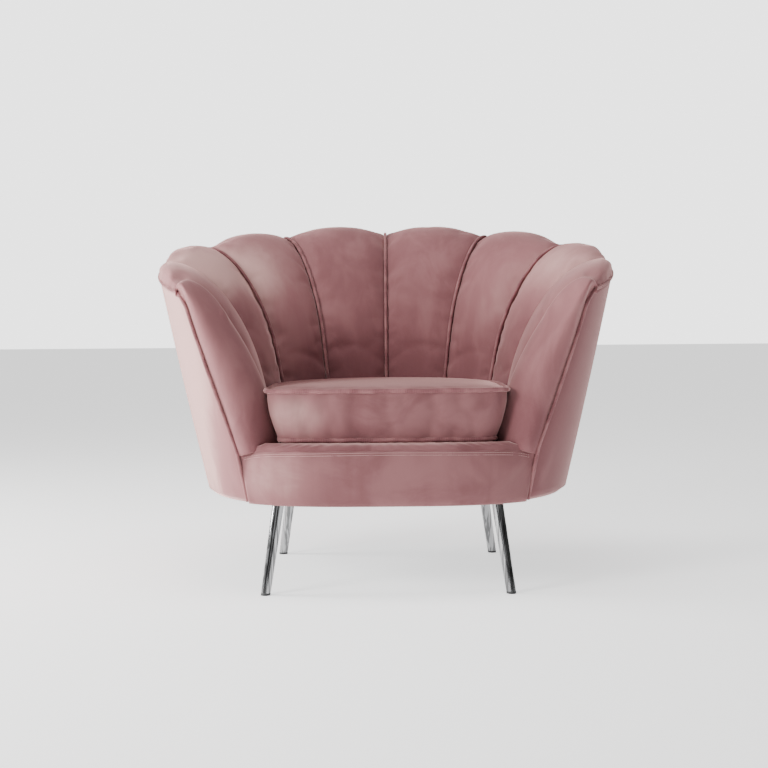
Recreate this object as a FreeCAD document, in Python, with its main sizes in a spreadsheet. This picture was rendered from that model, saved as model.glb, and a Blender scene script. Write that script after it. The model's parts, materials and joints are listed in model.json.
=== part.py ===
"""Shell-backed tub armchair: channelled back and arms, loose seat cushion, splayed metal legs.

Millimetres. +Z is up, the sitter faces -Y, +X is to the right when looking at the front.
The origin is on the floor under the middle of the chair.
In plan the shell follows a half ellipse at the back and a longer, cut-off one at the front.
The angle round that plan is 0 at the middle of the back, 90 at the widest place of the right arm.
"""
import FreeCAD, Part
import math
import os

import Sketcher
from FreeCAD import Placement, Rotation, Vector

doc = FreeCAD.newDocument("shell_armchair")
sheet = doc.addObject("Spreadsheet::Sheet", "Sizes")

SIZES = [
    # outside of the shell, at the underside of the chair
    ("base_bottom", 188, "height of the upholstered underside"),
    ("base_half_width", 410, "half width of the shell at the underside"),
    ("base_back_reach", 328, "back half ellipse's reach at the underside"),
    ("base_front_reach", 394, "front half ellipse's reach at the underside"),
    ("plan_centre_y", -45, "where the shell is widest, front to back"),
    ("side_flare", 12.4, "outward lean of the arms, degrees"),
    ("back_flare", 11.3, "outward lean of the back, degrees"),
    # top edge
    ("side_ridge", 727, "height of the lobes at the widest place"),
    ("ridge_slope", 13, "fall of the top edge towards the front, degrees"),
    ("lobe_rise", 22, "height of a lobe's top over the valley beside it"),
    ("edge_drop", 16, "outer edge welt below the valley"),
    ("ridge_inset", 20, "ridge inside the outer face"),
    # inside of the shell
    ("side_depth", 168, "outer face to inner seam at the arms"),
    ("back_depth", 140, "outer face to inner seam at the back"),
    ("inner_front_reach", "=base_front_reach + 236", "front half ellipse's reach on the inside"),
    ("roll_height", 255, "height over which the inside rolls out to the ridge"),
    ("lobe_low", 11, "lobe's bulge at the seat"),
    ("lobe_high", 25, "lobe's bulge under the ridge"),
    ("foam", 52, "channel foam thickness"),
    ("skin", 8, "outside panel: board, felt and cloth"),
    ("strap_width", 44, "webbing strap width"),
    ("strap_low", "=deck_top + 34", "middle of the lower strap"),
    ("strap_high", "=deck_top + 102", "middle of the upper strap"),
    # arm fronts
    ("arm_front_y", "=front_y + 75", "arm front's outer edge at the seat rail"),
    ("arm_rake", 6, "backward lean of the arm fronts, degrees"),
    ("arm_nose", 24, "padding in front of the arm stile"),
    # base frame
    ("frame_bottom", "=base_bottom + 8", "underside of the rails"),
    ("rail_height", 88, "height of the rails"),
    ("rail_thick", 25, "thickness of the rails"),
    ("rail_inset", 16, "outer face to side and back rails"),
    ("front_rail_length", "=2 * base_half_width - 310", "front rail, end to end"),
    ("block_side", 82, "corner block, front to back"),
    ("block_height", 40, "corner block height"),
    ("rib_thick", 18, "plywood ribs and stiles"),
    ("cloth_gap", 5, "webbing between ribs and foam"),
    # front border and deck
    ("front_y", -405, "foremost point of the front border"),
    ("front_bow", 72, "how far the front border's ends stand back"),
    ("border_top", "=frame_bottom + rail_height + 22", "seam between the border and its lip"),
    ("lip_rise", 12, "crown of the lip over that seam"),
    ("lip_back_y", "=cushion_front_y + 28", "back of the lip"),
    ("border_thick", 20, "padding of the front border"),
    ("deck_thick", 16, "deck pad under the cushion"),
    ("deck_top", "=border_top + 10", "top of the deck pad"),
    # springs
    ("spring_wire", 3.8, "sinuous spring wire"),
    ("spring_swing", 24, "half the width of a sinuous spring"),
    ("spring_pitch", 23, "distance between its bends"),
    ("spring_spacing", 84, "distance between springs"),
    ("spring_level", "=deck_top - deck_thick - 9", "height of the springs' middle"),
    # legs
    ("foot_half_x", "=base_half_width - 151.5", "foot from the middle, sideways"),
    ("front_foot_y", "=front_y + 40", "front feet"),
    ("back_foot_y", "=plan_centre_y + base_back_reach - 136", "back feet"),
    ("leg_splay", 8.2, "lean of the legs in both directions, degrees"),
    ("leg_top_radius", 13, "leg tube at the plate"),
    ("leg_foot_radius", 10, "leg tube at the floor"),
    ("leg_wall", 1.5, "leg tube wall"),
    ("glide_height", 5, "foot glide below the tube"),
    ("glide_stem", 16, "foot glide's stem in the tube"),
    ("plate_side", 68, "leg plate"),
    ("plate_shift", 20, "leg to the middle of its plate, in both directions"),
    ("plate_corner", 10, "corner radius of the leg plate"),
    ("plate_thick", 3, "leg plate thickness"),
    ("plate_hole_pitch", 48, "distance between the plate's holes"),
    ("screw_radius", 2.2, "leg screw shank"),
    ("screw_length", 28, "leg screw shank length"),
    ("screw_head_radius", 4.4, "leg screw head"),
    ("screw_head_height", 2.6, "leg screw head height"),
    # loose cushion
    ("cushion_back_radius", "=base_half_width - side_depth + 14", "half circle at the cushion's back"),
    ("cushion_centre_y", "=plan_centre_y + base_back_reach - back_depth - cushion_back_radius + 25", "centre of that half circle"),
    ("cushion_front_half", "=cushion_back_radius", "half width at the front"),
    ("cushion_front_y", "=front_y + 57", "front face of the cushion"),
    ("cushion_corner", 44, "front corner radius"),
    ("cushion_bottom", "=deck_top + 3", "underside of the cushion"),
    ("cushion_edge", "=cushion_bottom + 108", "height of the welted top edge"),
    ("cushion_crown", 15, "crown over the welted edge"),
    ("cushion_taper", 27, "how far the underside is drawn in"),
    ("welt_radius", 3.2, "sewn welt cord"),
    ("zip_angle", 36, "half of the zip's arc, degrees"),
    ("zip_width", 26, "zip tape width"),
    ("zip_thick", 1.6, "zip tape and teeth thickness"),
]
for row, (alias, _, meaning) in enumerate(SIZES, start=1):
    sheet.set(f"A{row}", meaning)
    sheet.setAlias(f"B{row}", alias)
for row, (_, value, _) in enumerate(SIZES, start=1):
    sheet.set(f"B{row}", str(value))
doc.recompute()
size = {alias: float(sheet.get(alias)) for alias, _, _ in SIZES}

# Channel seams, as angles round the plan: on the inside at seat level, and at the ridge.
SEAM_LOW = [0, 29.6, 59, 88, 104]
SEAM_RIDGE = [0, 29.6, 59, 88, 117]
SIDES = {"left": -1, "right": 1}
CORNERS = {"front_left": (-1, -1), "front_right": (1, -1), "back_left": (-1, 1), "back_right": (1, 1)}
kept = []  # labels of the finished sub-parts


def tan(degrees):
    return math.tan(math.radians(degrees))


def keep(obj, label):
    """Names a finished sub-part, which will be written to its own file."""
    obj.Label = label
    kept.append(obj)
    return obj


def feature(label, shape):
    """A sub-part whose shape Part's own functions made from the sheet's sizes."""
    obj = doc.addObject("Part::Feature", label)
    obj.Shape = shape
    return keep(obj, label)


def bind(obj, **expressions):
    """Binds properties to the sheet; double underscores stand for the dots in a property path."""
    for path, expression in expressions.items():
        obj.setExpression(path.replace("__", "."), expression)
    return obj


# ---------------------------------------------------------------- shell geometry


def reach(z, inset=0.0):
    """Semi-axes of the outer face at height z: sideways, to the back, to the front."""
    rise = z - size["base_bottom"]
    return (
        size["base_half_width"] + tan(size["side_flare"]) * rise - inset,
        size["base_back_reach"] + tan(size["back_flare"]) * rise - inset,
        size["base_front_reach"] + tan(size["back_flare"]) * rise - inset,
    )


def outer_point(angle, z, inset=0.0):
    """A point of the outer face, or one inset from it along its own normal."""
    half, back, front = reach(z)
    s, c = math.sin(math.radians(angle)), math.cos(math.radians(angle))
    depth = back if c >= 0 else front
    normal = Vector(s / half, c / depth, 0).normalize()
    return Vector(half * s, size["plan_centre_y"] + depth * c, z) - normal * inset


def wall_depth(angle):
    """Outer face to inner seam at seat level."""
    share = max(0.0, math.cos(math.radians(angle))) ** 2
    return size["side_depth"] + (size["back_depth"] - size["side_depth"]) * share


def inner_point(angle, z, inset=0.0):
    """A point of the inner seam surface below the roll, or one inset towards the sitter."""
    half, back, _ = reach(z)
    s, c = math.sin(math.radians(angle)), math.cos(math.radians(angle))
    depth = back - size["back_depth"] if c >= 0 else size["inner_front_reach"]
    return Vector(
        (half - size["side_depth"] - inset) * s,
        size["plan_centre_y"] + (depth - inset) * c,
        z,
    )


def valley_height(angle):
    """Height of the ridge where it crosses a seam."""
    nominal = size["side_ridge"]
    _, back, front = reach(nominal, size["ridge_inset"])
    c = math.cos(math.radians(angle))
    along = (back if c >= 0 else front) * c
    return size["side_ridge"] + tan(size["ridge_slope"]) * along - size["lobe_rise"]


def edge_height(angle):
    """Height of the outer edge welt."""
    return valley_height(angle) - size["edge_drop"]


ROLL_STEPS = [90, 70, 52, 36, 20, 8, 0]
EDGE_STEPS = [45, 90]


def profile(low, ridge, lobe, bottom):
    """The padded face at one place round the plan, from the seat up, over the ridge and out to the edge."""
    top = valley_height(ridge)
    crest = outer_point(ridge, top, size["ridge_inset"])
    edge = outer_point(ridge, edge_height(ridge))
    points = []
    for z in (bottom, (bottom + top - size["roll_height"]) / 2):
        base = inner_point(low, z)
        inward = Vector(base.x - crest.x, base.y - crest.y, 0).normalize()
        points.append(base + inward * lobe * size["lobe_low"])
    for turn in ROLL_STEPS:
        s, c = math.sin(math.radians(turn)), math.cos(math.radians(turn))
        z = top - size["roll_height"] * (1 - c)
        base = inner_point(low, z)
        inward = Vector(base.x - crest.x, base.y - crest.y, 0).normalize()
        place = Vector(crest.x + (base.x - crest.x) * s, crest.y + (base.y - crest.y) * s, z)
        high = size["lobe_rise"] * (1 - s) + size["lobe_high"] * s
        bulge = size["lobe_low"] + (high - size["lobe_low"]) * min(1, 1.6 * c)
        points.append(place + (inward * s + Vector(0, 0, c)) * lobe * bulge)
    for turn in EDGE_STEPS:
        s, c = math.sin(math.radians(turn)), math.cos(math.radians(turn))
        place = Vector(
            crest.x + (edge.x - crest.x) * s,
            crest.y + (edge.y - crest.y) * s,
            top - (top - edge.z) * (1 - c),
        )
        points.append(place + Vector(0, 0, c) * lobe * size["lobe_rise"])
    return points


def flatten(points):
    """The same points moved into the upright plane through the first and last of them."""
    start, end = points[0], points[-1]
    along = Vector(end.x - start.x, end.y - start.y, 0).normalize()
    flat = []
    for p in points:
        s = (p.x - start.x) * along.x + (p.y - start.y) * along.y
        flat.append(Vector(start.x + along.x * s, start.y + along.y * s, p.z))
    return flat, along


def channel_section(low, ridge, lobe):
    """Closed outline of a channel's foam at one place: padded face, then the back of the foam."""
    bottom = size["deck_top"] - size["deck_thick"]
    face, outward = flatten(profile(low, ridge, lobe, bottom))
    edge = face[-1]
    shelf = outward * -(size["ridge_inset"] + 26)
    back = [edge + shelf]
    seam = flatten(profile(low, ridge, 0.0, bottom))[0]
    for k in (5, 4, 3, 2, 0):
        back.append(seam[k] + outward * size["foam"])
    drop = edge.z - 34
    back[1] = Vector(back[0].x, back[0].y, min(drop, back[0].z - 10))
    outline = face + back
    return Part.makePolygon(outline + [outline[0]])


def foam_back(angle, z, gap):
    """A point behind the foam, level with the seat or the small of the back."""
    base = inner_point(angle, z)
    edge = outer_point(angle, edge_height(abs(angle)))
    start = inner_point(angle, size["deck_top"] - size["deck_thick"])
    outward = Vector(edge.x - start.x, edge.y - start.y, 0).normalize()
    return base + outward * (size["foam"] + gap)


def mirror_x(shape):
    return shape.mirror(Vector(0, 0, 0), Vector(1, 0, 0))


def channel(number):
    """Right-hand channel between two seams, lofted through five places across it."""
    sections = []
    for share in (0.0, 0.25, 0.5, 0.75, 1.0):
        low = SEAM_LOW[number - 1] + (SEAM_LOW[number] - SEAM_LOW[number - 1]) * share
        ridge = SEAM_RIDGE[number - 1] + (SEAM_RIDGE[number] - SEAM_RIDGE[number - 1]) * share
        sections.append(channel_section(low, ridge, 4 * share * (1 - share)))
    return Part.makeLoft(sections, True, False)


def shell_solid(rings, closed=False):
    """A closed solid of small flat faces from rings of points, which needn't lie in one plane."""
    faces = []
    count = len(rings[0])
    following = rings[1:] + rings[:1] if closed else rings[1:]
    for a, b in zip(rings, following):
        for k in range(count):
            n = (k + 1) % count
            faces.append(Part.Face(Part.makePolygon([a[k], a[n], b[n], a[k]])))
            faces.append(Part.Face(Part.makePolygon([a[k], b[n], b[k], a[k]])))
    for ring in () if closed else (rings[0], rings[-1]):
        for k in range(count // 2 - 1):
            m = count - 1 - k
            faces.append(Part.Face(Part.makePolygon([ring[k], ring[k + 1], ring[m - 1], ring[k]])))
            faces.append(Part.Face(Part.makePolygon([ring[k], ring[m - 1], ring[m], ring[k]])))
    solid = Part.makeSolid(Part.makeShell(faces))
    if solid.Volume < 0:
        solid.reverse()
    return solid


def arm_front_y(z):
    """The arm front's outer edge, raked back above the border and tucked back below it."""
    return size["arm_front_y"] + tan(size["arm_rake"]) * abs(z - size["border_top"])


def arm_edge(z, inset=0.0):
    """Where the outer face reaches the arm front at height z."""
    half, _, front = reach(z, inset)
    y = arm_front_y(z)
    c = (y - size["plan_centre_y"]) / front
    return Vector(half * math.sqrt(1 - c * c), y, z)


def seam_at(z):
    """The seam behind the arm pad at height z, on the seat side of the ridge."""
    line = profile(SEAM_LOW[-1], SEAM_RIDGE[-1], 0.0, size["deck_top"] - size["deck_thick"])
    line = line[: -len(EDGE_STEPS)]
    for a, b in zip(line, line[1:]):
        if a.z <= z <= b.z:
            return a + (b - a) * ((z - a.z) / (b.z - a.z))
    return line[-1]


# ---------------------------------------------------------------- sketches and bodies


def origin_plane(body, role):
    return next(f for f in body.Origin.OriginFeatures if f.Role == role)


def new_body(label):
    return keep(doc.addObject("PartDesign::Body", label), label)


def polygon_sketch(body, name, corners, role="XY_Plane"):
    """A closed outline whose corners are pairs of sheet expressions."""
    sketch = body.newObject("Sketcher::SketchObject", name)
    sketch.AttachmentSupport = (origin_plane(body, role), [""])
    sketch.MapMode = "FlatFace"
    count = len(corners)
    start = [
        Vector(100 * math.cos(2 * math.pi * k / count), 100 * math.sin(2 * math.pi * k / count), 0)
        for k in range(count)
    ]
    for k in range(count):
        sketch.addGeometry(Part.LineSegment(start[k], start[(k + 1) % count]), False)
    for k in range(count):
        sketch.addConstraint(Sketcher.Constraint("Coincident", k, 2, (k + 1) % count, 1))
    for k, (x, y) in enumerate(corners):
        for axis, expression, place in (("DistanceX", x, start[k].x), ("DistanceY", y, start[k].y)):
            index = sketch.addConstraint(Sketcher.Constraint(axis, -1, 1, k, 1, place))
            sketch.setExpression(f"Constraints[{index}]", expression)
    return sketch


def pad(body, sketch, length, midplane=False):
    feature_pad = body.newObject("PartDesign::Pad", "Pad")
    feature_pad.Profile = sketch
    feature_pad.Midplane = midplane
    feature_pad.setExpression("Length", length)
    body.Tip = feature_pad
    return feature_pad


S = "Sizes."


# ---------------------------------------------------------------- base frame


def border_end(z):
    """Half width of the front border, which ends against the outside panels."""
    return arm_edge(z, size["skin"] + 1).x


def border_y(x, half_width):
    """The border's front face, bowed back towards its ends."""
    return size["front_y"] + size["front_bow"] * abs(x / max(half_width, BOW_WIDTH)) ** 3.4


BOW_WIDTH = size["base_half_width"] - 110  # half width over which the bow is measured


def bowed_bar(half_width, outline, steps=10):
    """A bar across the chair, whose section follows the bowed front.

    half_width is a function of height. Each point of the outline is (how much it follows the bow,
    distance behind the front or place along Y, height).
    """
    sections = []
    for k in range(steps + 1):
        share = 2 * k / steps - 1
        points = []
        for follows, back, z in outline:
            x = share * half_width(z)
            points.append(Vector(x, follows * border_y(x, 0) + back, z))
        sections.append(points)
    return shell_solid(sections)


def band(outer_inset, thick, bottom, top, start, end, steps):
    """A curved rail that follows the plan at its own foot, between two angles."""
    outside = [outer_point(start + (end - start) * k / steps, bottom, outer_inset) for k in range(steps + 1)]
    inside = [
        outer_point(start + (end - start) * k / steps, bottom, outer_inset + thick) for k in range(steps + 1)
    ]
    curves = []
    for points in (outside, inside):
        curve = Part.BSplineCurve()
        curve.interpolate(points)
        curves.append(curve.toShape())
    ends = [Part.makeLine(outside[0], inside[0]), Part.makeLine(outside[-1], inside[-1])]
    outline = Part.Wire(Part.__sortEdges__(curves + ends))
    return Part.Face(outline).extrude(Vector(0, 0, top - bottom))


BACK_RAIL_END = 52
SIDE_RAIL_END = 134


def build_base_frame():
    low = size["frame_bottom"]
    rail_top = low + size["rail_height"]
    inset, thick = size["rail_inset"], size["rail_thick"]
    near = size["border_thick"] + 3
    front = [(1, near, low), (1, near, rail_top), (1, near + thick, rail_top), (1, near + thick, low)]
    half = size["front_rail_length"] / 2
    rails = {"front_rail": bowed_bar(lambda z: half, front).cut(leg_screws())}
    rails["back_rail"] = band(inset, thick, low, rail_top, -BACK_RAIL_END, BACK_RAIL_END, 12)
    for side, sign in SIDES.items():
        start, end = BACK_RAIL_END + 0.05, SIDE_RAIL_END
        rails[f"side_rail_{side}"] = band(inset, thick, low, rail_top, sign * start, sign * end, 9)
    for label, shape in rails.items():
        feature(label, shape)
    return list(rails.values())


def leg_top(sx, sy):
    """Where a leg's axis meets the underside of its plate."""
    height = size["frame_bottom"] - size["plate_thick"]
    shift = tan(size["leg_splay"]) * height
    foot_y = size["front_foot_y"] if sy < 0 else size["back_foot_y"]
    return Vector(sx * (size["foot_half_x"] - shift), foot_y - sy * shift, height)


def plate_centre(sx, sy):
    """Middle of a leg plate, which reaches further inwards than outwards."""
    return leg_top(sx, sy) - Vector(sx, sy, 0) * size["plate_shift"]


def screw_shape():
    """Pan-head screw, head downwards, with the head's seat at the origin."""
    head = Part.makeCylinder(size["screw_head_radius"], size["screw_head_height"], Vector(0, 0, 0), Vector(0, 0, -1))
    head = head.makeFillet(1.2, [e for e in head.Edges if e.CenterOfMass.z < -size["screw_head_height"] + 0.01])
    point = size["screw_radius"] * 1.6
    shank = Part.makeCylinder(size["screw_radius"], size["screw_length"] - point)
    tip = Part.makeCone(size["screw_radius"], 0.3, point, Vector(0, 0, size["screw_length"] - point))
    return head.fuse([shank, tip]).removeSplitter()


def leg_screws():
    """Three screws in each leg plate, at the corners away from the leg."""
    pitch = size["plate_hole_pitch"] / 2
    screws = []
    for sx, sy in CORNERS.values():
        for hx, hy in ((-sx, -sy), (-sx, sy), (sx, -sy)):
            screws.append(screw_shape().translated(plate_centre(sx, sy) + Vector(hx, hy, 0) * pitch))
    return Part.makeCompound(screws)


def border_space():
    """Everything in front of the padded border's back face, with a little clearance behind it."""
    low, back = size["frame_bottom"] - 5, size["border_thick"] + 2
    high = low + size["block_height"] + 10
    outline = [(1, -60, low), (1, -60, high), (1, back, high), (1, back, low)]
    return bowed_bar(lambda z: size["base_half_width"], outline, steps=20)


def build_corner_blocks(rails):
    """Beech blocks glued into the corners of the rails, with pilot holes for the leg screws."""
    side = size["block_side"]
    blocks = []
    for sx, sy in CORNERS.values():
        width = 100 if sy < 0 else 150
        centre = plate_centre(sx, sy)
        inner = abs(centre.x) - size["plate_side"] / 2
        low_y = centre.y - (20 if sy < 0 else side / 2)
        block = Part.makeBox(width, side, size["block_height"])
        block.translate(Vector(inner if sx > 0 else -inner - width, low_y, size["frame_bottom"]))
        for piece in [*rails, border_space()]:
            block = block.cut(piece)
        pieces = block.cut(leg_screws()).Solids
        blocks.append(max(pieces, key=lambda piece: piece.Volume))
    feature("corner_blocks", Part.makeCompound(blocks))
    feature("leg_screws", leg_screws())


HOOP_FOOT = 42  # underside of the top hoop below the edge welt


def rib_edge_expression(angle):
    """Sheet expression for the outer edge's height at an angle of the back half."""
    ridge_reach = (
        f"({S}base_back_reach + tan({S}back_flare) * ({S}side_ridge - {S}base_bottom) - {S}ridge_inset)"
    )
    return (
        f"({S}side_ridge + tan({S}ridge_slope) * {ridge_reach} * cos({angle})"
        f" - {S}lobe_rise - {S}edge_drop)"
    )


def build_ribs():
    """Plywood ribs behind the seams, from the rails to the top hoop."""
    ribs = []
    for number in range(4):
        angle = SEAM_RIDGE[number]
        for side, sign in SIDES.items():
            if number == 0 and side == "left":
                continue
            label = "rib_centre" if number == 0 else f"rib_{side}_{number}"
            body = new_body(label)
            foot = outer_point(sign * angle, size["base_bottom"])
            crest = outer_point(sign * angle, size["side_ridge"])
            lean = f"{Vector(crest.x - foot.x, crest.y - foot.y, 0).Length / (crest.z - foot.z)}"
            wall = f"({S}side_depth + ({S}back_depth - {S}side_depth) * cos({angle}) ^ 2)"
            head = f"({rib_edge_expression(angle)} - 36)"
            rail_top = f"({S}frame_bottom + {S}rail_height + 0.2)"

            def inset(amount, height):
                """Horizontal place of a point that lies so far inside the outer face at a height."""
                return f"{lean} * ({height} - {S}base_bottom) - ({amount})"

            inner = f"{wall} - {S}foam - {S}cloth_gap"
            outline = [
                (inset(f"{S}skin + 5", rail_top), rail_top),
                (inset(f"{S}skin + 5", head), head),
                (inset(f"{S}ridge_inset + 10", head), head),
                (inset(f"({inner}) - 50", f"({head} - 48)"), f"({head} - 48)"),
                (inset(f"({inner}) - 26", f"({head} - 100)"), f"({head} - 100)"),
                (inset(inner, f"({head} - 178)"), f"({head} - 178)"),
                (inset(inner, rail_top), rail_top),
            ]
            sketch = polygon_sketch(body, f"{label}_outline", outline, "XZ_Plane")
            pad(body, sketch, f"{S}rib_thick", midplane=True)
            direction = math.degrees(math.atan2(crest.y - foot.y, crest.x - foot.x))
            body.Placement = Placement(Vector(foot.x, foot.y, 0), Rotation(Vector(0, 0, 1), direction))
            ribs.append(body)
    return ribs


def build_top_hoop(ribs):
    """Laminated hoop that carries the top edge from stile to stile, housed over the ribs."""
    end = SEAM_RIDGE[-1] + 2
    count = 22
    near, far = size["skin"] + 3, size["ridge_inset"] + 14
    stations = []
    for k in range(count + 1):
        angle = -end + 2 * end * k / count
        z = edge_height(abs(angle))
        places = ((z - 8, near), (z - 8, far), (z - HOOP_FOOT, far), (z - HOOP_FOOT, near))
        stations.append([outer_point(angle, level, inset) for level, inset in places])
    hoop = shell_solid(stations)
    doc.recompute()
    for rib in ribs:
        hoop = hoop.cut(rib.Shape)
    feature("top_hoop", hoop)
    return hoop


def build_webbing():
    """Elastic straps stretched round the ribs behind the foam."""
    half = size["strap_width"] / 2
    for name, middle in (("lower", size["strap_low"]), ("upper", size["strap_high"])):
        stations = []
        for k in range(17):
            angle = -86 + 172 * k / 16
            stations.append(
                [
                    foam_back(angle, middle - half, 3.0),
                    foam_back(angle, middle + half, 3.0),
                    foam_back(angle, middle + half, 4.6),
                    foam_back(angle, middle - half, 4.6),
                ]
            )
        feature(f"webbing_{name}", shell_solid(stations))


def build_arm_stiles():
    """Plywood boards behind the arm fronts, leaning with them."""
    low = size["frame_bottom"] + size["rail_height"] + 0.1
    high = edge_height(SEAM_RIDGE[-1]) - HOOP_FOOT - 4
    stiles = []
    for side, sign in SIDES.items():
        stations = []
        for z in (low, size["border_top"], (size["border_top"] + high) / 2, high):
            outer = arm_edge(z, size["skin"] + 3)
            front = outer.y + size["arm_nose"]
            back = front + size["rib_thick"]
            stations.append(
                [
                    Vector(sign * outer.x, front, z),
                    Vector(sign * (outer.x - 58), front, z),
                    Vector(sign * (outer.x - 58), back, z),
                    Vector(sign * outer.x, back, z),
                ]
            )
        stile = shell_solid(stations)
        feature(f"arm_stile_{side}", stile)
        stiles.append(stile)
    return stiles


# ---------------------------------------------------------------- springs


SPRINGS = 4


def spring_path(x, start, end):
    """Sinuous wire from front to back: straight runs joined by half circles."""
    pitch, swing, z = size["spring_pitch"], size["spring_swing"], size["spring_level"]
    bend = pitch / 2
    run = swing - bend
    count = int((end - start) / pitch)
    edges = [Part.makeLine(Vector(x, start, z), Vector(x + run, start, z))]
    y, side = start, 1
    for k in range(count):
        middle = Vector(x + side * (run + bend), y + bend, z)
        edges.append(Part.Arc(Vector(x + side * run, y, z), middle, Vector(x + side * run, y + pitch, z)).toShape())
        y += pitch
        last = k == count - 1
        edges.append(Part.makeLine(Vector(x + side * run, y, z), Vector(x if last else x - side * run, y, z)))
        side = -side
    return Part.Wire(edges), y


def build_springs():
    radius = size["spring_wire"] / 2
    clips = []
    for number in range(1, SPRINGS + 1):
        x = (number - (SPRINGS + 1) / 2) * size["spring_spacing"]
        start = border_y(x, size["front_rail_length"] / 2) + size["border_thick"] + 3 + size["rail_thick"] / 2
        rail = size["rail_inset"] + size["rail_thick"] / 2
        half, back, _ = reach(size["frame_bottom"], rail)
        end = size["plan_centre_y"] + back * math.sqrt(1 - (x / half) ** 2)
        path, reached = spring_path(x, start, end)
        circle = Part.makeCircle(radius, Vector(x, start, size["spring_level"]), Vector(1, 0, 0))
        feature(f"seat_spring_{number}", path.makePipeShell([Part.Wire(circle)], True, False))
        clips += [clip_shape(x, start), clip_shape(x, reached)]
    feature("spring_clips", Part.makeCompound(clips))


def clip_shape(x, y):
    """Folded steel clip that holds a spring's end on its rail."""
    wire = size["spring_wire"] / 2
    width, length, metal = 14, 22, 1.2
    level = size["spring_level"]
    foot = size["frame_bottom"] + size["rail_height"] + 0.2
    outer = Part.makeBox(width, length, level + wire + metal + 0.4 - foot)
    outer.translate(Vector(x - width / 2, y - length / 2, foot))
    hollow = Part.makeBox(width + 2, length - 2 * metal, level + wire + 0.4 - foot - metal)
    hollow.translate(Vector(x - width / 2 - 1, y - length / 2 + metal, foot + metal))
    return outer.cut(hollow)


# ---------------------------------------------------------------- legs


def build_leg_plates():
    for name, (sx, sy) in CORNERS.items():
        body = new_body(f"leg_plate_{name}")
        half = f"{S}plate_side / 2"
        corners = [(f"-{half}", f"-{half}"), (half, f"-{half}"), (half, half), (f"-{half}", half)]
        base = pad(body, polygon_sketch(body, f"plate_{name}", corners), f"{S}plate_thick")
        doc.recompute()
        upright = [
            f"Edge{i + 1}"
            for i, edge in enumerate(base.Shape.Edges)
            if abs(edge.tangentAt(edge.FirstParameter).z) > 0.99
        ]
        rounding = body.newObject("PartDesign::Fillet", "Rounding")
        rounding.Base = (base, upright)
        rounding.setExpression("Radius", f"{S}plate_corner")
        hole = body.newObject("Sketcher::SketchObject", f"hole_{name}")
        hole.AttachmentSupport = (origin_plane(body, "XY_Plane"), [""])
        hole.MapMode = "FlatFace"
        first = (-sy, sx)
        hole.addGeometry(Part.Circle(Vector(20 * first[0], 20 * first[1], 0), Vector(0, 0, 1), 2.5), False)
        for index, (kind, sign) in enumerate((("DistanceX", first[0]), ("DistanceY", first[1]))):
            hole.addConstraint(Sketcher.Constraint(kind, -1, 1, 0, 3, 20 * sign))
            hole.setExpression(f"Constraints[{index}]", f"{sign} * {S}plate_hole_pitch / 2")
        ring = hole.addConstraint(Sketcher.Constraint("Radius", 0, 2.5))
        hole.setExpression(f"Constraints[{ring}]", f"{S}screw_radius + 0.4")
        pocket = body.newObject("PartDesign::Pocket", "Hole")
        pocket.Profile = hole
        pocket.Type = "ThroughAll"
        pocket.Reversed = True
        body.Tip = pocket
        doc.recompute()
        pattern = body.newObject("PartDesign::PolarPattern", "Holes")
        pattern.Originals = [pocket]
        pattern.Axis = (hole, ["N_Axis"])
        pattern.Angle = 180
        pattern.Occurrences = 3
        body.Tip = pattern
        shift = f"(tan({S}leg_splay) * ({S}frame_bottom - {S}plate_thick) + {S}plate_shift)"
        foot_y = f"{S}front_foot_y" if sy < 0 else f"{S}back_foot_y"
        bind(
            body,
            Placement__Base__x=f"{sx} * ({S}foot_half_x - {shift})",
            Placement__Base__y=f"{foot_y} - {sy} * {shift}",
            Placement__Base__z=f"{S}frame_bottom - {S}plate_thick",
        )


def leg_placement(sx, sy):
    """Puts an upright piece on its foot's place, leaning inwards as it rises."""
    foot_y = size["front_foot_y"] if sy < 0 else size["back_foot_y"]
    lean = tan(size["leg_splay"])
    up = Vector(-sx * lean, -sy * lean, 1)
    return Placement(Vector(sx * size["foot_half_x"], foot_y, 0), Rotation(Vector(0, 0, 1), up))


def cone(name, place, low, high, start="0", length=None):
    """A cone along a leg, from a distance below the floor so that a level cut can end it."""
    obj = doc.addObject("Part::Cone", name)
    bind(obj, Radius1=low, Radius2=high, Height=length or f"{S}frame_bottom + 60")
    obj.Placement = place.multiply(Placement(Vector(0, 0, -20), Rotation()))
    return obj


def slab(name, place_expression, bottom, top):
    """A level slab round one leg, which trims it to a height."""
    obj = doc.addObject("Part::Box", name)
    obj.Length, obj.Width = 240, 240
    x, y = place_expression
    bind(
        obj,
        Height=f"{top} - ({bottom})",
        Placement__Base__x=f"{x} - 120",
        Placement__Base__y=f"{y} - 120",
        Placement__Base__z=bottom,
    )
    return obj


def boolean(kind, name, first, second):
    obj = doc.addObject(f"Part::{kind}", name)
    obj.Base, obj.Tool = first, second
    return obj


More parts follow.
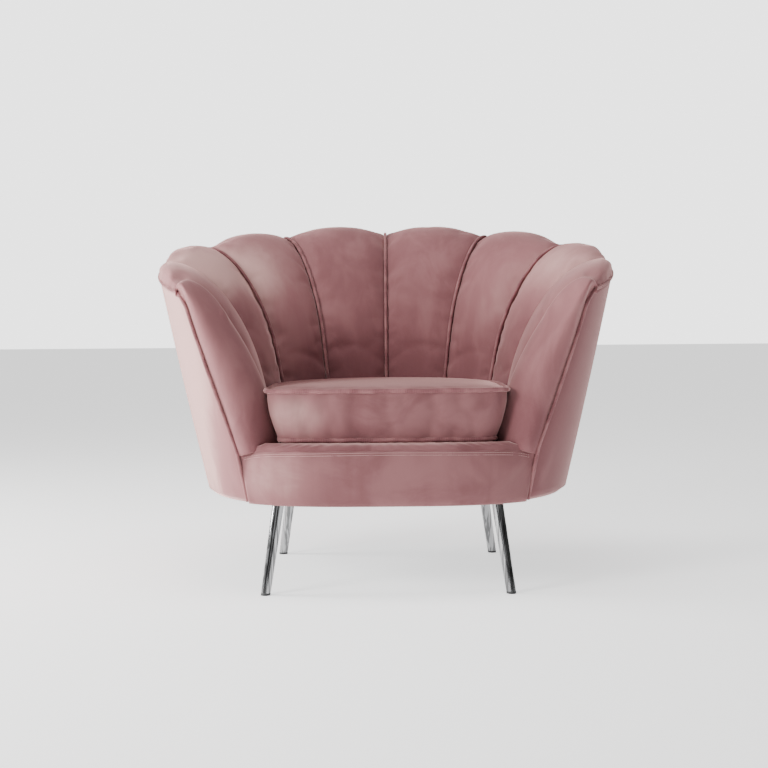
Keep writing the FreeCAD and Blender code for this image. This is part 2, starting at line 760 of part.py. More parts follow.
def build_legs():
    """Tapered tubes cut level at both ends, each with a plastic glide in its foot."""
    plate_low = f"{S}frame_bottom - {S}plate_thick"
    for name, (sx, sy) in CORNERS.items():
        place = leg_placement(sx, sy)
        where = (f"{sx} * {S}foot_half_x", f"{S}front_foot_y" if sy < 0 else f"{S}back_foot_y")
        low, high = f"{S}leg_foot_radius", f"{S}leg_top_radius"
        outside = cone(f"tube_out_{name}", place, low, high)
        inside = cone(f"tube_in_{name}", place, f"{low} - {S}leg_wall", f"{high} - {S}leg_wall")
        tube = boolean("Cut", f"tube_{name}", outside, inside)
        span = slab(f"tube_span_{name}", where, f"{S}glide_height", plate_low)
        keep(boolean("Common", f"leg_{name}", tube, span), f"leg_{name}")

        sole = cone(f"sole_out_{name}", place, low, high)
        sole_span = slab(f"sole_span_{name}", where, "0", f"{S}glide_height")
        sole_cut = boolean("Common", f"sole_{name}", sole, sole_span)
        stem = cone(f"stem_out_{name}", place, f"{low} - {S}leg_wall - 0.05", f"{high} - {S}leg_wall - 0.05")
        stem_span = slab(f"stem_span_{name}", where, f"{S}glide_height - 1", f"{S}glide_height + {S}glide_stem")
        stem_cut = boolean("Common", f"stem_{name}", stem, stem_span)
        keep(boolean("Fuse", f"foot_glide_{name}", sole_cut, stem_cut), f"foot_glide_{name}")


# ---------------------------------------------------------------- upholstery


def build_channels():
    for number in range(1, len(SEAM_LOW)):
        shape = channel(number)
        feature(f"channel_right_{number}", shape)
        feature(f"channel_left_{number}", mirror_x(shape))


def arm_pad_ring(z, closing):
    """Level outline of the arm pad: seat side to nose, then the outer side from front to back.

    closing runs from 0 below the edge welt to 1 at the ridge, where the pad rounds over.
    """
    seam, next_seam = seam_at(z), seam_at(z - 5)
    edge = arm_edge(z, size["ridge_inset"] * closing**2)
    nose = size["arm_nose"] * 0.55 * math.sqrt(1 - 0.9 * closing**2)
    front = edge.y - nose
    width = edge.x - seam.x
    share = max(0.0, min(1.0, (z - size["border_top"]) / (valley_height(SEAM_RIDGE[-1]) - size["border_top"])))
    bulge = size["lobe_high"] * (1.15 - 0.55 * share)
    end = outer_point(SEAM_RIDGE[-1], z, size["skin"] + 1)
    outward = Vector(end.x - seam.x, end.y - seam.y, 0)
    deep = min(size["foam"], outward.Length * 0.92)
    outward.normalize()
    wall = [arm_edge(z, size["skin"] + 1 + size["ridge_inset"] * closing**2) + Vector(0, back, 0) for back in (14, 44)]
    return [
        seam + Vector(0, -0.3, 0),
        Vector(seam.x - bulge * 0.9, seam.y - 0.5 * (seam.y - front), z),
        Vector(seam.x - bulge * 0.75, front + 20, z),
        Vector(seam.x - bulge * 0.2 + 0.14 * width, front + 2, z),
        Vector(edge.x - 0.3 * width, front, z),
        Vector(edge.x - 1, edge.y - 1.5, z),
        Vector(wall[0].x, edge.y - 1, z),
        wall[0],
        wall[1],
        seam + outward * deep + Vector(0, -0.3, 0),
    ]


def build_arm_pads(frame):
    """Padded arm fronts round their stiles, closing over the ends of the top edge."""
    low, edge = size["border_top"] + 0.6, edge_height(SEAM_RIDGE[-1])
    top = valley_height(SEAM_RIDGE[-1])
    levels = [(low + (edge - low) * share, 0.0) for share in (0, 0.12, 0.25, 0.38, 0.5, 0.62, 0.74, 0.86, 1)]
    levels += [(edge + (top - edge) * rise, rise) for rise in (0.45, 0.8, 0.97)]
    pad_solid = shell_solid([arm_pad_ring(z, closing) for z, closing in levels])
    for side, solid in (("right", pad_solid), ("left", mirror_x(pad_solid))):
        for piece in frame:
            solid = solid.cut(piece)
        feature(f"arm_pad_{side}", max(solid.Solids, key=lambda found: found.Volume))


def outside_end(z):
    """Angle at which the outer face meets the arm front."""
    _, _, front = reach(z)
    c = (arm_front_y(z) - size["plan_centre_y"]) / front
    return math.degrees(math.acos(c))


def top_end():
    """Angle at which the outer edge welt turns down the arm front."""
    return outside_end(edge_height(SEAM_RIDGE[-1]))


def outside_panel(start_share, end_share):
    """Thin curved panel between two shares of the way from the middle of the back to the arm front."""
    sections = []
    count = 8
    for k in range(count + 1):
        share = start_share + (end_share - start_share) * k / count
        outline = []
        heights = (0.0, 0.25, 0.5, 0.75, 1.0)
        for inset, order in ((0.0, heights), (size["skin"], heights[::-1])):
            for level in order:
                top = edge_height(share * top_end()) - 1
                z = size["base_bottom"] + (top - size["base_bottom"]) * level
                outline.append(outer_point(share * outside_end(z), z, inset))
        sections.append(outline)
    return sections


def build_outside():
    """Outside back and arm panels, which meet at the two rear seams."""
    seam = 0.36
    back = shell_solid(outside_panel(0.0, seam))
    feature("outside_back", back.fuse(mirror_x(back)).removeSplitter())
    side = shell_solid(outside_panel(seam + 0.002, 1.0))
    feature("outside_right", side)
    feature("outside_left", mirror_x(side))


def welt(points, radius):
    """A round cord along a smooth line, as a solid."""
    curve = Part.BSplineCurve()
    curve.interpolate(points)
    path = Part.Wire(curve.toShape())
    tangent = curve.tangent(curve.FirstParameter)[0]
    circle = Part.makeCircle(radius, points[0], tangent)
    return path.makePipeShell([Part.Wire(circle)], True, True)


def build_welts():
    """Cords sewn into the channel seams, and the cord round the shell's outer edge."""
    radius = size["welt_radius"]
    cords = []
    bottom = size["cushion_bottom"]
    for low, ridge in zip(SEAM_LOW, SEAM_RIDGE):
        line = profile(low, ridge, 0.0, bottom)
        crest = line[-len(EDGE_STEPS) - 1]
        points = []
        for p in line:
            inward = Vector(line[0].x - crest.x, line[0].y - crest.y, 0).normalize()
            points.append(p + inward * 1.0 + Vector(0, 0, 1.0))
        cord = welt(points, radius * 0.8)
        cords.append(cord)
        if low:
            cords.append(mirror_x(cord))
    feature("channel_welts", Part.makeCompound(cords))

    end = top_end()
    edge = []
    for k in range(27):
        angle = -end + 2 * end * k / 26
        edge.append(outer_point(angle, edge_height(abs(angle)) + 0.5))
    arm = []
    low, high = size["base_bottom"] + 4, edge_height(end) - 5
    for k in range(9):
        arm.append(arm_edge(low + (high - low) * k / 8) + Vector(0, -1, 0))
    front = welt(arm, radius * 0.8)
    feature("edge_welt", Part.makeCompound([welt(edge, radius * 0.8), front, mirror_x(front)]))


def build_front_border():
    """Padded border over the front rail, and the lip in front of the cushion."""
    thick, top = size["border_thick"], size["border_top"]
    low, foot = size["base_bottom"], 8
    border = [
        (1, foot + 4, low),
        (1, foot, low + 8),
        (1, 1, low + 0.6 * (top - low)),
        (1, 0, top - 6),
        (1, 3, top),
        (1, thick, top),
        (1, thick, top - 6),
        (1, thick, low + 0.6 * (top - low)),
        (1, thick, low + 8),
        (1, foot + 0.6 * thick, low),
    ]
    feature("front_border", bowed_bar(border_end, border))
    crown, base, back = top + size["lip_rise"], top + 0.3, size["lip_back_y"]
    lip = [
        (1, 3, base),
        (1, 5, top + 6),
        (1, 20, crown - 1),
        (0.5, size["front_y"] / 2 + 44, crown),
        (0, back - 8, crown - 4),
        (0, back, base),
    ]
    feature("front_lip", bowed_bar(lambda z: LIP_HALF, lip))


LIP_HALF = size["base_half_width"] - size["side_depth"] - 14  # half width of the lip, between the arm pads


def inner_outline(z, inset, start_y):
    """Level outline inside the shell, closed across the front at a distance."""
    points = []
    count = 24
    half, back, _ = reach(z)
    c = (start_y - size["plan_centre_y"]) / (size["inner_front_reach"] - inset)
    end = math.degrees(math.acos(c))
    for k in range(count + 1):
        points.append(inner_point(-end + 2 * end * k / count, z, inset))
    curve = Part.BSplineCurve()
    curve.interpolate(points)
    return Part.Wire([curve.toShape(), Part.makeLine(points[-1], points[0])])


def build_deck_and_dust_cover():
    low = size["deck_top"] - size["deck_thick"]
    outline = inner_outline(low, size["lobe_low"] + 4, size["lip_back_y"] + 2)
    feature("seat_deck", Part.Face(outline).extrude(Vector(0, 0, size["deck_thick"])))
    thin = 1.5
    z = size["frame_bottom"] - thin - 0.2
    points = []
    for k in range(25):
        angle = -SIDE_RAIL_END + 2 * SIDE_RAIL_END * k / 24
        points.append(outer_point(angle, z, size["skin"] + 3))
    curve = Part.BSplineCurve()
    curve.interpolate(points)
    front = Vector(0, size["front_y"] + size["border_thick"] + 6, z)
    across = Part.Arc(points[-1], front, points[0]).toShape()
    cloth = Part.Face(Part.Wire([curve.toShape(), across])).extrude(Vector(0, 0, thin))
    side = size["plate_side"] + 2
    for sx, sy in CORNERS.values():
        window = Part.makeBox(side, side, 20, plate_centre(sx, sy) - Vector(side / 2, side / 2, 10))
        cloth = cloth.cut(window)
    feature("dust_cover", cloth)


# ---------------------------------------------------------------- cushion


def cushion_outline(z, inset):
    """D-shaped outline: half circle at the back, drawn-in sides, round front corners, bowed front."""
    radius = size["cushion_back_radius"] - inset
    centre_y = size["cushion_centre_y"]
    front_half = size["cushion_front_half"] - inset
    corner = size["cushion_corner"]
    front_y = size["cushion_front_y"] + inset * 0.15
    bow = 7
    side_end = Vector(front_half, front_y + corner, z)
    front_end = Vector(front_half - corner, front_y + 2, z)
    middle = Vector(front_half - corner * 0.27, front_y + 2 + corner * 0.27, z)
    side_start = Vector(radius, centre_y, z)

    def flip(p):
        return Vector(-p.x, p.y, p.z)

    edges = [
        Part.Arc(side_start, Vector(0, centre_y + radius, z), flip(side_start)).toShape(),
        Part.makeLine(flip(side_start), flip(side_end)),
        Part.Arc(flip(side_end), flip(middle), flip(front_end)).toShape(),
        Part.Arc(flip(front_end), Vector(0, front_y - bow, z), front_end).toShape(),
        Part.Arc(front_end, middle, side_end).toShape(),
        Part.makeLine(side_end, side_start),
    ]
    return Part.Wire(edges)


def build_cushion():
    low, edge = size["cushion_bottom"], size["cushion_edge"]
    radius, inset = size["welt_radius"], size["cushion_taper"]
    box = Part.makeLoft([cushion_outline(low, inset), cushion_outline(edge, 0)], True, True)
    crown = Part.makeLoft(
        [
            cushion_outline(edge, 0),
            cushion_outline(edge + 0.6 * size["cushion_crown"], 14),
            cushion_outline(edge + size["cushion_crown"], 48),
        ],
        True,
        True,
    )
    feature("seat_cushion", box.fuse(crown).removeSplitter())
    path = cushion_outline(edge, -radius * 0.7)
    line = path.discretize(91)[:-1]
    rings = []
    for k, point in enumerate(line):
        ahead = line[(k + 1) % len(line)] - line[k - 1]
        outward = Vector(ahead.y, -ahead.x, 0).normalize()
        turns = [math.radians(45 * j) for j in range(8)]
        rings.append([point + outward * radius * math.cos(t) + Vector(0, 0, radius * math.sin(t)) for t in turns])
    feature("cushion_welt", shell_solid(rings, closed=True))


def zip_lean():
    """How far the cushion's back wall moves out for each millimetre of height."""
    return size["cushion_taper"] / (size["cushion_edge"] - size["cushion_bottom"])


def cushion_wall(z):
    """Radius of the cushion's back wall at height z."""
    return size["cushion_back_radius"] - (size["cushion_edge"] - z) * zip_lean()


def back_arc(outline, start, sweep):
    """Turns an upright outline (radius, height) about the centre of the cushion's back arc."""
    centre = Vector(0, size["cushion_centre_y"], 0)
    points = [Vector(r, size["cushion_centre_y"], z) for r, z in outline]
    face = Part.Face(Part.makePolygon(points + [points[0]]))
    face.rotate(centre, Vector(0, 0, 1), start)
    return face.revolve(centre, Vector(0, 0, 1), sweep)


SLIDER_SPAN = 3.4


def build_zip():
    """Zip along the cushion's back, and its slider at the closed end."""
    middle = (size["cushion_bottom"] + size["cushion_edge"]) / 2 - 6
    half, thick = size["zip_width"] / 2, size["zip_thick"]
    gap = 0.1
    tape = [
        (cushion_wall(middle - half) + gap, middle - half),
        (cushion_wall(middle + half) + gap, middle + half),
        (cushion_wall(middle + half) + gap + 0.7, middle + half),
        (cushion_wall(middle + 3) + gap + 0.7, middle + 3),
        (cushion_wall(middle + 3) + gap + thick, middle + 3),
        (cushion_wall(middle - 3) + gap + thick, middle - 3),
        (cushion_wall(middle - 3) + gap + 0.7, middle - 3),
        (cushion_wall(middle - half) + gap + 0.7, middle - half),
    ]
    arc = size["zip_angle"]
    feature("zip_chain", back_arc(tape, 90 - arc, 2 * arc))
    clear = gap + thick + 0.4

    def wall(height, out):
        return (cushion_wall(middle + height) + clear + out, middle + height)

    slider = [wall(-5.5, 0), wall(-5.5, 1.6), wall(-2.5, 2.6), wall(2.5, 2.6), wall(5.5, 1.6), wall(5.5, 0)]
    start = 90 - arc + 1.0
    plate = back_arc(slider, start, SLIDER_SPAN)
    pull = back_arc([wall(-30, 2.2), wall(-30, 3.4), wall(-2, 3.4), wall(-2, 2.2)], start + 0.9, SLIDER_SPAN - 1.8)
    feature("zip_slider", plate.fuse(pull).removeSplitter())


# ---------------------------------------------------------------- build and write


base_rails = build_base_frame()
build_corner_blocks(base_rails)
hoop = build_top_hoop(build_ribs())
build_webbing()
stiles = build_arm_stiles()
build_springs()
build_leg_plates()
build_legs()
build_channels()
build_arm_pads([hoop, *stiles])
build_outside()
build_welts()
build_front_border()
build_deck_and_dust_cover()
build_cushion()
build_zip()
doc.recompute()

failed = [o.Label for o in doc.Objects if {"Invalid", "Error"} & set(o.State)]
for part in kept:
    shape = part.Shape
    if shape.isNull() or not shape.isValid() or not shape.Solids:
        failed.append(part.Label)
if failed:
    raise RuntimeError(f"these did not build: {sorted(set(failed))}")

os.makedirs("parts", exist_ok=True)
for part in kept:
    part.Shape.exportStep(f"parts/{part.Label}.step")
print(len(kept), "sub-parts written")
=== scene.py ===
"""Looks of a shell-backed tub armchair: channelled velvet, sewn welts, a loose cushion and metal legs."""

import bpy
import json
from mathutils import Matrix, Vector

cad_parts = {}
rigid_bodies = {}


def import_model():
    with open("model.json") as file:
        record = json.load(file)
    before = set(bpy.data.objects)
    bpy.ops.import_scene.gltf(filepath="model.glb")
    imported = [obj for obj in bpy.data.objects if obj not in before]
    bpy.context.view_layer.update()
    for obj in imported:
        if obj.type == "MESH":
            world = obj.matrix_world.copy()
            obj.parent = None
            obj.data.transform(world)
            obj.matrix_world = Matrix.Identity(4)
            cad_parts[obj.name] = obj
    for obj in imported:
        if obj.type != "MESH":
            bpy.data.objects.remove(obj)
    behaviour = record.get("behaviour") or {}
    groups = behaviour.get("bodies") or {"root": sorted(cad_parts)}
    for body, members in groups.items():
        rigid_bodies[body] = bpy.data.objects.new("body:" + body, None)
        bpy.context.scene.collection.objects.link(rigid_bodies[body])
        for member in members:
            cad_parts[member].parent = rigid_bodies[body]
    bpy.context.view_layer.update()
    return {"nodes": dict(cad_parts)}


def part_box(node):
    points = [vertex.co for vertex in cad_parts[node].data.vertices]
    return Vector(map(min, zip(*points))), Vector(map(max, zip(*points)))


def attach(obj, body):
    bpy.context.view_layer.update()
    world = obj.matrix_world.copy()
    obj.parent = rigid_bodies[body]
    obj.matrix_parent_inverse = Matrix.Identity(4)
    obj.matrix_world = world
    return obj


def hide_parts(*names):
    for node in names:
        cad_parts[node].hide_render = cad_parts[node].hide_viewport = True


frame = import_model()

import json
import math
from contextlib import contextmanager

import bmesh
import bpy
import numpy as np
from bpy.props import FloatProperty, FloatVectorProperty, IntProperty, PointerProperty
from mathutils import Euler, Matrix, Vector, noise
from mathutils.bvhtree import BVHTree

bl_info = {
    "name": "Shell armchair",
    "version": (1, 0, 0),
    "blender": (4, 5, 0),
    "location": "View3D > Sidebar > Armchair",
    "description": "Makes the upholstery, welts, cushion, underside and stage of a shell-backed armchair",
    "category": "Object",
}


def length(name, default, description):
    return FloatProperty(name=name, description=description, default=default, unit="LENGTH", precision=4)


def colour(name, default, description):
    return FloatVectorProperty(
        name=name, description=description, default=default, subtype="COLOR", size=3, min=0.0, max=1.0
    )


def factor(name, default, description, low=0.0, high=1.0):
    return FloatProperty(name=name, description=description, default=default, min=low, max=high)


class ShellSizes(bpy.types.PropertyGroup):
    """The shell's outline, shared by the channels, arm fronts, outside panels and welts."""

    base_bottom: length("Underside", 0.188, "Height of the upholstered underside")
    base_half_width: length("Half width", 0.410, "Half width of the shell at the underside")
    base_back_reach: length("Back reach", 0.328, "Back half ellipse's reach at the underside")
    base_front_reach: length("Front reach", 0.394, "Front half ellipse's reach at the underside")
    plan_centre_y: length("Widest place", -0.045, "Where the shell is widest, front to back")
    side_flare: factor("Side flare", 0.21986, "Outward lean of the arms, run over rise")
    back_flare: factor("Back flare", 0.19982, "Outward lean of the back, run over rise")
    side_ridge: length("Side ridge", 0.727, "Height of the lobes at the widest place")
    ridge_slope: factor("Ridge slope", 0.23087, "Fall of the top edge towards the front, rise over run")
    lobe_rise: length("Lobe rise", 0.022, "Height of a lobe's top over the valley beside it")
    edge_drop: length("Edge drop", 0.016, "Outer edge welt below the valley")
    ridge_inset: length("Ridge inset", 0.020, "Ridge inside the outer face")
    side_depth: length("Arm depth", 0.168, "Outer face to inner seam at the arms")
    back_depth: length("Back depth", 0.140, "Outer face to inner seam at the back")
    inner_front_reach: length("Inner front reach", 0.630, "Front half ellipse's reach on the inside")
    roll_height: length("Roll height", 0.255, "Height over which the inside rolls out to the ridge")
    lobe_low: length("Low bulge", 0.013, "Lobe's bulge at the seat")
    lobe_high: length("High bulge", 0.024, "Lobe's bulge under the ridge")
    foam_bottom: length("Foam bottom", 0.300, "Lower end of the channels")
    skin: length("Panel thickness", 0.008, "Outside panel with its felt and cloth")
    arm_front_y: length("Arm front", -0.330, "Arm front's outer edge at the seat rail")
    arm_rake: factor("Arm rake", 0.1051, "Backward lean of the arm fronts, run over rise")
    arm_nose: length("Arm nose", 0.024, "Padding in front of the arm's outer edge")
    border_top: length("Border seam", 0.3065, "Height of the stitched seam over the front border")
    lip_back: length("Lip back", -0.320, "Back of the lip")
    front_y: length("Front", -0.405, "Foremost point of the front border")
    front_bow: length("Front bow", 0.072, "How far the front border's ends stand back")
    welt: length("Welt radius", 0.0038, "Radius of the sewn welts on the shell")


class CushionSizes(bpy.types.PropertyGroup):
    """The loose seat cushion."""

    back_radius: length("Back radius", 0.256, "Half circle at the cushion's back")
    centre_y: length("Back centre", -0.088, "Centre of the half circle, front to back")
    front_half: length("Front half width", 0.256, "Half width at the front")
    front_y: length("Front", -0.348, "Front face of the cushion")
    corner: length("Corner radius", 0.044, "Radius of the front corners")
    bottom: length("Underside", 0.319, "Underside of the cushion")
    edge: length("Top edge", 0.427, "Height of the welted top edge")
    crown: length("Crown", 0.006, "Crown over the welted edge before the filling swells it")
    taper: length("Taper", 0.027, "How far the underside is drawn in")
    welt: length("Welt radius", 0.0050, "Radius of the cushion's welt")
    swell: length("Swell", 0.007, "Most that the filling may move the cloth")


class ClothLook(bpy.types.PropertyGroup):
    """Colours of the coverings and metals."""

    velvet: colour("Velvet", (0.300, 0.132, 0.137), "Pile seen face on")
    # The dark pile colour gives random darker nap patches, and the painted shade where the placed marks darken the
    # velvet.
    velvet_shade: colour("Velvet shade", (0.165, 0.060, 0.067), "Pile brushed away from the light")
    # Painted highlight: the colour that the placed marks paint where the lamps light the velvet.
    velvet_painted_highlight: colour("Velvet light", (0.60, 0.36, 0.335), "Pile brushed towards the light")
    velvet_sheen: colour("Velvet sheen", (1.0, 0.64, 0.61), "Light caught by the tips of the pile")
    sheen: factor("Sheen", 0.85, "Strength of the light caught by the pile")
    thread: colour("Thread", (0.52, 0.30, 0.29), "Sewing thread")
    chrome: colour("Chrome", (0.40, 0.402, 0.41), "Polished legs")
    timber: colour("Timber", (0.56, 0.36, 0.20), "Planed beech")
    ply: colour("Plywood", (0.60, 0.43, 0.26), "Raw plywood")


class StageSizes(bpy.types.PropertyGroup):
    """Camera, lights and floor."""

    lens: FloatProperty(name="Lens", description="Focal length", default=63.66, unit="CAMERA")
    camera: FloatVectorProperty(
        name="Camera", description="Place of the camera", default=(-0.006, -3.195, 0.569), subtype="XYZ"
    )
    tilt: FloatProperty(
        name="Tilt", description="Downward tilt of the camera", default=math.radians(2.57), subtype="ANGLE"
    )
    roll: FloatProperty(name="Roll", description="Roll of the camera", default=math.radians(-0.45), subtype="ANGLE")
    floor: colour("Floor", (0.86, 0.86, 0.86), "Plain pale floor")
    key: FloatProperty(name="Key light", description="Power of the large light at the left", default=92.0)
    side: FloatProperty(name="Side light", description="Power of the light beside the left arm", default=150.0)
    fill: FloatProperty(name="Fill light", description="Power of the light at the right", default=2.5)
    top: FloatProperty(name="Top light", description="Power of the light overhead", default=38.0)
    glow: FloatProperty(name="Floor glow", description="Light given by the lit floor panel", default=1.15)
    backdrop: FloatProperty(name="Backdrop", description="Brightness of the room behind", default=2.9)
    ambient: FloatProperty(name="Ambient", description="Strength of the light from all round", default=0.95)
    simulation_frames: IntProperty(name="Frames", description="Frames over which the filling swells", default=20)


SEAM_LOW = (0.0, 29.6, 59.0, 88.0, 104.0)
SEAM_RIDGE = (0.0, 29.6, 59.0, 88.0, 117.0)
SIDES = {"left": -1.0, "right": 1.0}
REAR_SEAM = 0.36


# ---------------------------------------------------------------- shader helpers


class Wire:
    """A node's output that adds Math nodes when it is used in sums."""

    def __init__(self, weave, socket):
        self.weave = weave
        self.socket = socket

    def math(self, operation, *others):
        return self.weave.add("ShaderNodeMath", {"operation": operation}, [self, *others])

    def __add__(self, other):
        return self.math("ADD", other)

    __radd__ = __add__

    def __mul__(self, other):
        return self.math("MULTIPLY", other)

    __rmul__ = __mul__

    def __sub__(self, other):
        return self.math("SUBTRACT", other)

    def __rsub__(self, other):
        return self.weave.add("ShaderNodeMath", {"operation": "SUBTRACT"}, [other, self])

    def band(self, low, high):
        """0 below low, 1 above high, smooth between."""
        return self.weave.add(
            "ShaderNodeMapRange", {"interpolation_type": "SMOOTHSTEP", "clamp": True}, [self, low, high, 0.0, 1.0]
        )


class Weave:
    """Builds one material's nodes."""

    def __init__(self, name):
        self.material = bpy.data.materials.new(name)
        self.material.use_nodes = True
        self.tree = self.material.node_tree
        self.tree.nodes.clear()
        self.output = self.tree.nodes.new("ShaderNodeOutputMaterial")

    def add(self, kind, settings=None, inputs=None, output=0):
        """Adds a node: settings first, then its inputs by place or by name. Returns one output."""
        node = self.tree.nodes.new(kind)
        for key, value in (settings or {}).items():
            setattr(node, key, value)
        pairs = inputs.items() if isinstance(inputs, dict) else enumerate(inputs or [])
        for key, value in pairs:
            if isinstance(value, Wire):
                self.tree.links.new(value.socket, node.inputs[key])
            else:
                node.inputs[key].default_value = value
        return Wire(self, node.outputs[output])

    def place(self):
        """Object coordinates, which are metres in the chair's own frame."""
        return self.add("ShaderNodeTexCoord", output="Object")

    def stretch(self, vector, scale):
        return self.add("ShaderNodeMapping", None, {"Vector": vector, "Scale": scale})

    def wave(self, settings, inputs):
        return self.add("ShaderNodeTexWave", settings, inputs, output="Fac")

    def speckle(self, vector, scale, detail=3.0, rough=0.55, distortion=0.0):
        inputs = {"Vector": vector, "Scale": scale, "Detail": detail, "Roughness": rough, "Distortion": distortion}
        return self.add("ShaderNodeTexNoise", None, inputs)

    def blend(self, share, first, second):
        """Mixes two colours."""
        node = self.tree.nodes.new("ShaderNodeMix")
        node.data_type = "RGBA"
        for socket, value in ((node.inputs[0], share), (node.inputs[6], first), (node.inputs[7], second)):
            if isinstance(value, Wire):
                self.tree.links.new(value.socket, socket)
            elif isinstance(value, float):
                socket.default_value = value
            else:
                socket.default_value = (*value, 1.0)
        return Wire(self, node.outputs[2])

    def bump(self, height, strength, distance):
        return self.add("ShaderNodeBump", None, {"Height": height, "Strength": strength, "Distance": distance})

    def finish(self, **inputs):
        """Ends in a Principled surface. Underscores in a name stand for spaces."""
        values = {}
        for key, value in inputs.items():
            values[key.replace("_", " ")] = (*value, 1.0) if isinstance(value, tuple) and len(value) == 3 else value
        surface = self.add("ShaderNodeBsdfPrincipled", None, values)
        self.tree.links.new(surface.socket, self.output.inputs["Surface"])
        return self.material


# ---------------------------------------------------------------- materials


def sizes():
    return bpy.context.scene.chair_shell


def look():
    return bpy.context.scene.chair_look


def times(shade, share):
    """A colour made darker or lighter."""
    return tuple(share * x for x in shade)


def velvet(name, painted_shade_factor=1.0, along=(1.0, 1.0, 0.35), painted_light_at=()):
    """Short cut-pile velvet: brushed patches, faint streaks along the nap and a fine pile.

    The places given last are painted lighter as painted highlights, or darker as painted shade, where the lamps light
    the velvet or leave it dark: (middle, reach, share towards the light shade).
    """
    if name in bpy.data.materials:
        return bpy.data.materials[name]
    c = look()
    w = Weave(name)
    place = w.place()
    warped = w.speckle(place, 3.2, 2.0, 0.5, 0.6)
    patches = w.speckle(w.stretch(place, along), 9.0, 3.0, 0.55, 1.2)
    strokes = w.speckle(w.stretch(place, (34.0, 34.0, 5.0)), 1.0, 2.0, 0.5, 0.4)
    brushed = (warped * 0.35 + patches * 0.5 + strokes * 0.15).band(0.40, 0.61)
    nap = brushed * 0.44 + 0.25
    # Painted light and shade: each place given lifts the nap towards the light colour, a painted highlight, or with a
    # share below nought lowers it towards the shade colour, painted shade.
    for middle, size, share in painted_light_at:
        away = w.add("ShaderNodeVectorMath", {"operation": "SUBTRACT"}, [place, middle])
        away = w.add("ShaderNodeVectorMath", {"operation": "DIVIDE"}, [away, size])
        away = w.add("ShaderNodeVectorMath", {"operation": "LENGTH"}, [away], output="Value")
        ragged = away + (patches - 0.5) * 0.7 + (warped - 0.5) * 0.6
        nap = nap + (1.0 - ragged.band(0.10, 1.30)) * share
    pile = w.speckle(place, 1500.0, 2.0, 0.6)
    # The factor given second darkens the whole cloth: below one it makes a darker copy of the same velvet, painted
    # shade on that piece.
    shade = w.blend(nap.band(-0.15, 1.0), times(c.velvet_shade, painted_shade_factor), times(c.velvet, painted_shade_factor))
    # Only the painted marks lift the nap past 0.75, so this mix is the painted highlight.
    shade = w.blend(nap.band(0.75, 1.9), shade, times(c.velvet_painted_highlight, painted_shade_factor))
    shade = w.blend(pile.band(0.35, 0.75) * 0.25, shade, times(c.velvet, painted_shade_factor * 1.45))
    height = pile * 0.5 + w.speckle(place, 420.0, 2.0, 0.5) * 0.35 + strokes * 0.15
    return w.finish(
        Base_Color=shade,
        Roughness=0.86 - brushed * 0.10,
        Normal=w.bump(height, 0.28, 0.0006),
        Sheen_Weight=c.sheen,
        Sheen_Roughness=0.36,
        Sheen_Tint=tuple(c.velvet_sheen),
        Specular_IOR_Level=0.25,
    )


# Painted highlights on the front border, strongest at its left: (middle, reach, share towards the light shade).
BORDER_PAINTED_LIGHT = [((-0.24, -0.40, 0.25), (0.11, 0.2, 0.07), 0.8), ((0.24, -0.39, 0.26), (0.09, 0.2, 0.06), 0.25)]
# Painted shade along the lip's back, under the cushion.
LIP_PAINTED_SHADE = [((0.0, -0.37, 0.28), (0.42, 0.10, 0.06), -0.55)]
# Painted highlights on the cushion's front, strongest at its left, and on its top.
CUSHION_PAINTED_LIGHT = [
    ((-0.19, -0.33, 0.375), (0.10, 0.08, 0.06), 0.95),
    ((0.20, -0.33, 0.35), (0.05, 0.08, 0.04), 0.35),
    ((0.0, -0.1, 0.44), (0.3, 0.25, 0.02), 0.25),
]
# Painted highlights on the upper channels, strongest at the left, and painted shade low in the middle of the back.
CHANNEL_PAINTED_LIGHT_AND_SHADE = [
    ((-0.44, -0.02, 0.69), (0.12, 0.22, 0.12), 1.5),
    ((-0.36, 0.12, 0.68), (0.11, 0.14, 0.12), 0.9),
    ((-0.31, 0.20, 0.64), (0.13, 0.16, 0.20), 0.7),
    ((0.37, 0.12, 0.69), (0.10, 0.14, 0.11), 0.45),
    ((0.44, -0.02, 0.69), (0.12, 0.22, 0.12), 0.9),
    ((-0.30, 0.12, 0.50), (0.10, 0.14, 0.12), 0.35),
    ((0.28, 0.14, 0.62), (0.12, 0.14, 0.12), 0.4),
    ((0.0, 0.22, 0.46), (0.40, 0.20, 0.09), -0.45),
]
# Painted highlights high on the arm fronts and painted shade low on them.
ARM_PAINTED_LIGHT_AND_SHADE = [
    ((-0.40, -0.30, 0.52), (0.05, 0.2, 0.14), 0.35),
    ((0.42, -0.30, 0.55), (0.06, 0.2, 0.12), 0.5),
    ((-0.27, -0.30, 0.34), (0.07, 0.2, 0.07), -0.6),
    ((0.27, -0.30, 0.34), (0.07, 0.2, 0.07), -0.6),
]
# Painted light on the left outside panel and painted shade on the right one.
OUTSIDE_PAINTED_LIGHT_AND_SHADE = [
    ((-0.50, -0.15, 0.42), (0.17, 0.34, 0.38), 2.6),
    ((0.50, -0.15, 0.38), (0.24, 0.50, 0.50), -1.2),
]


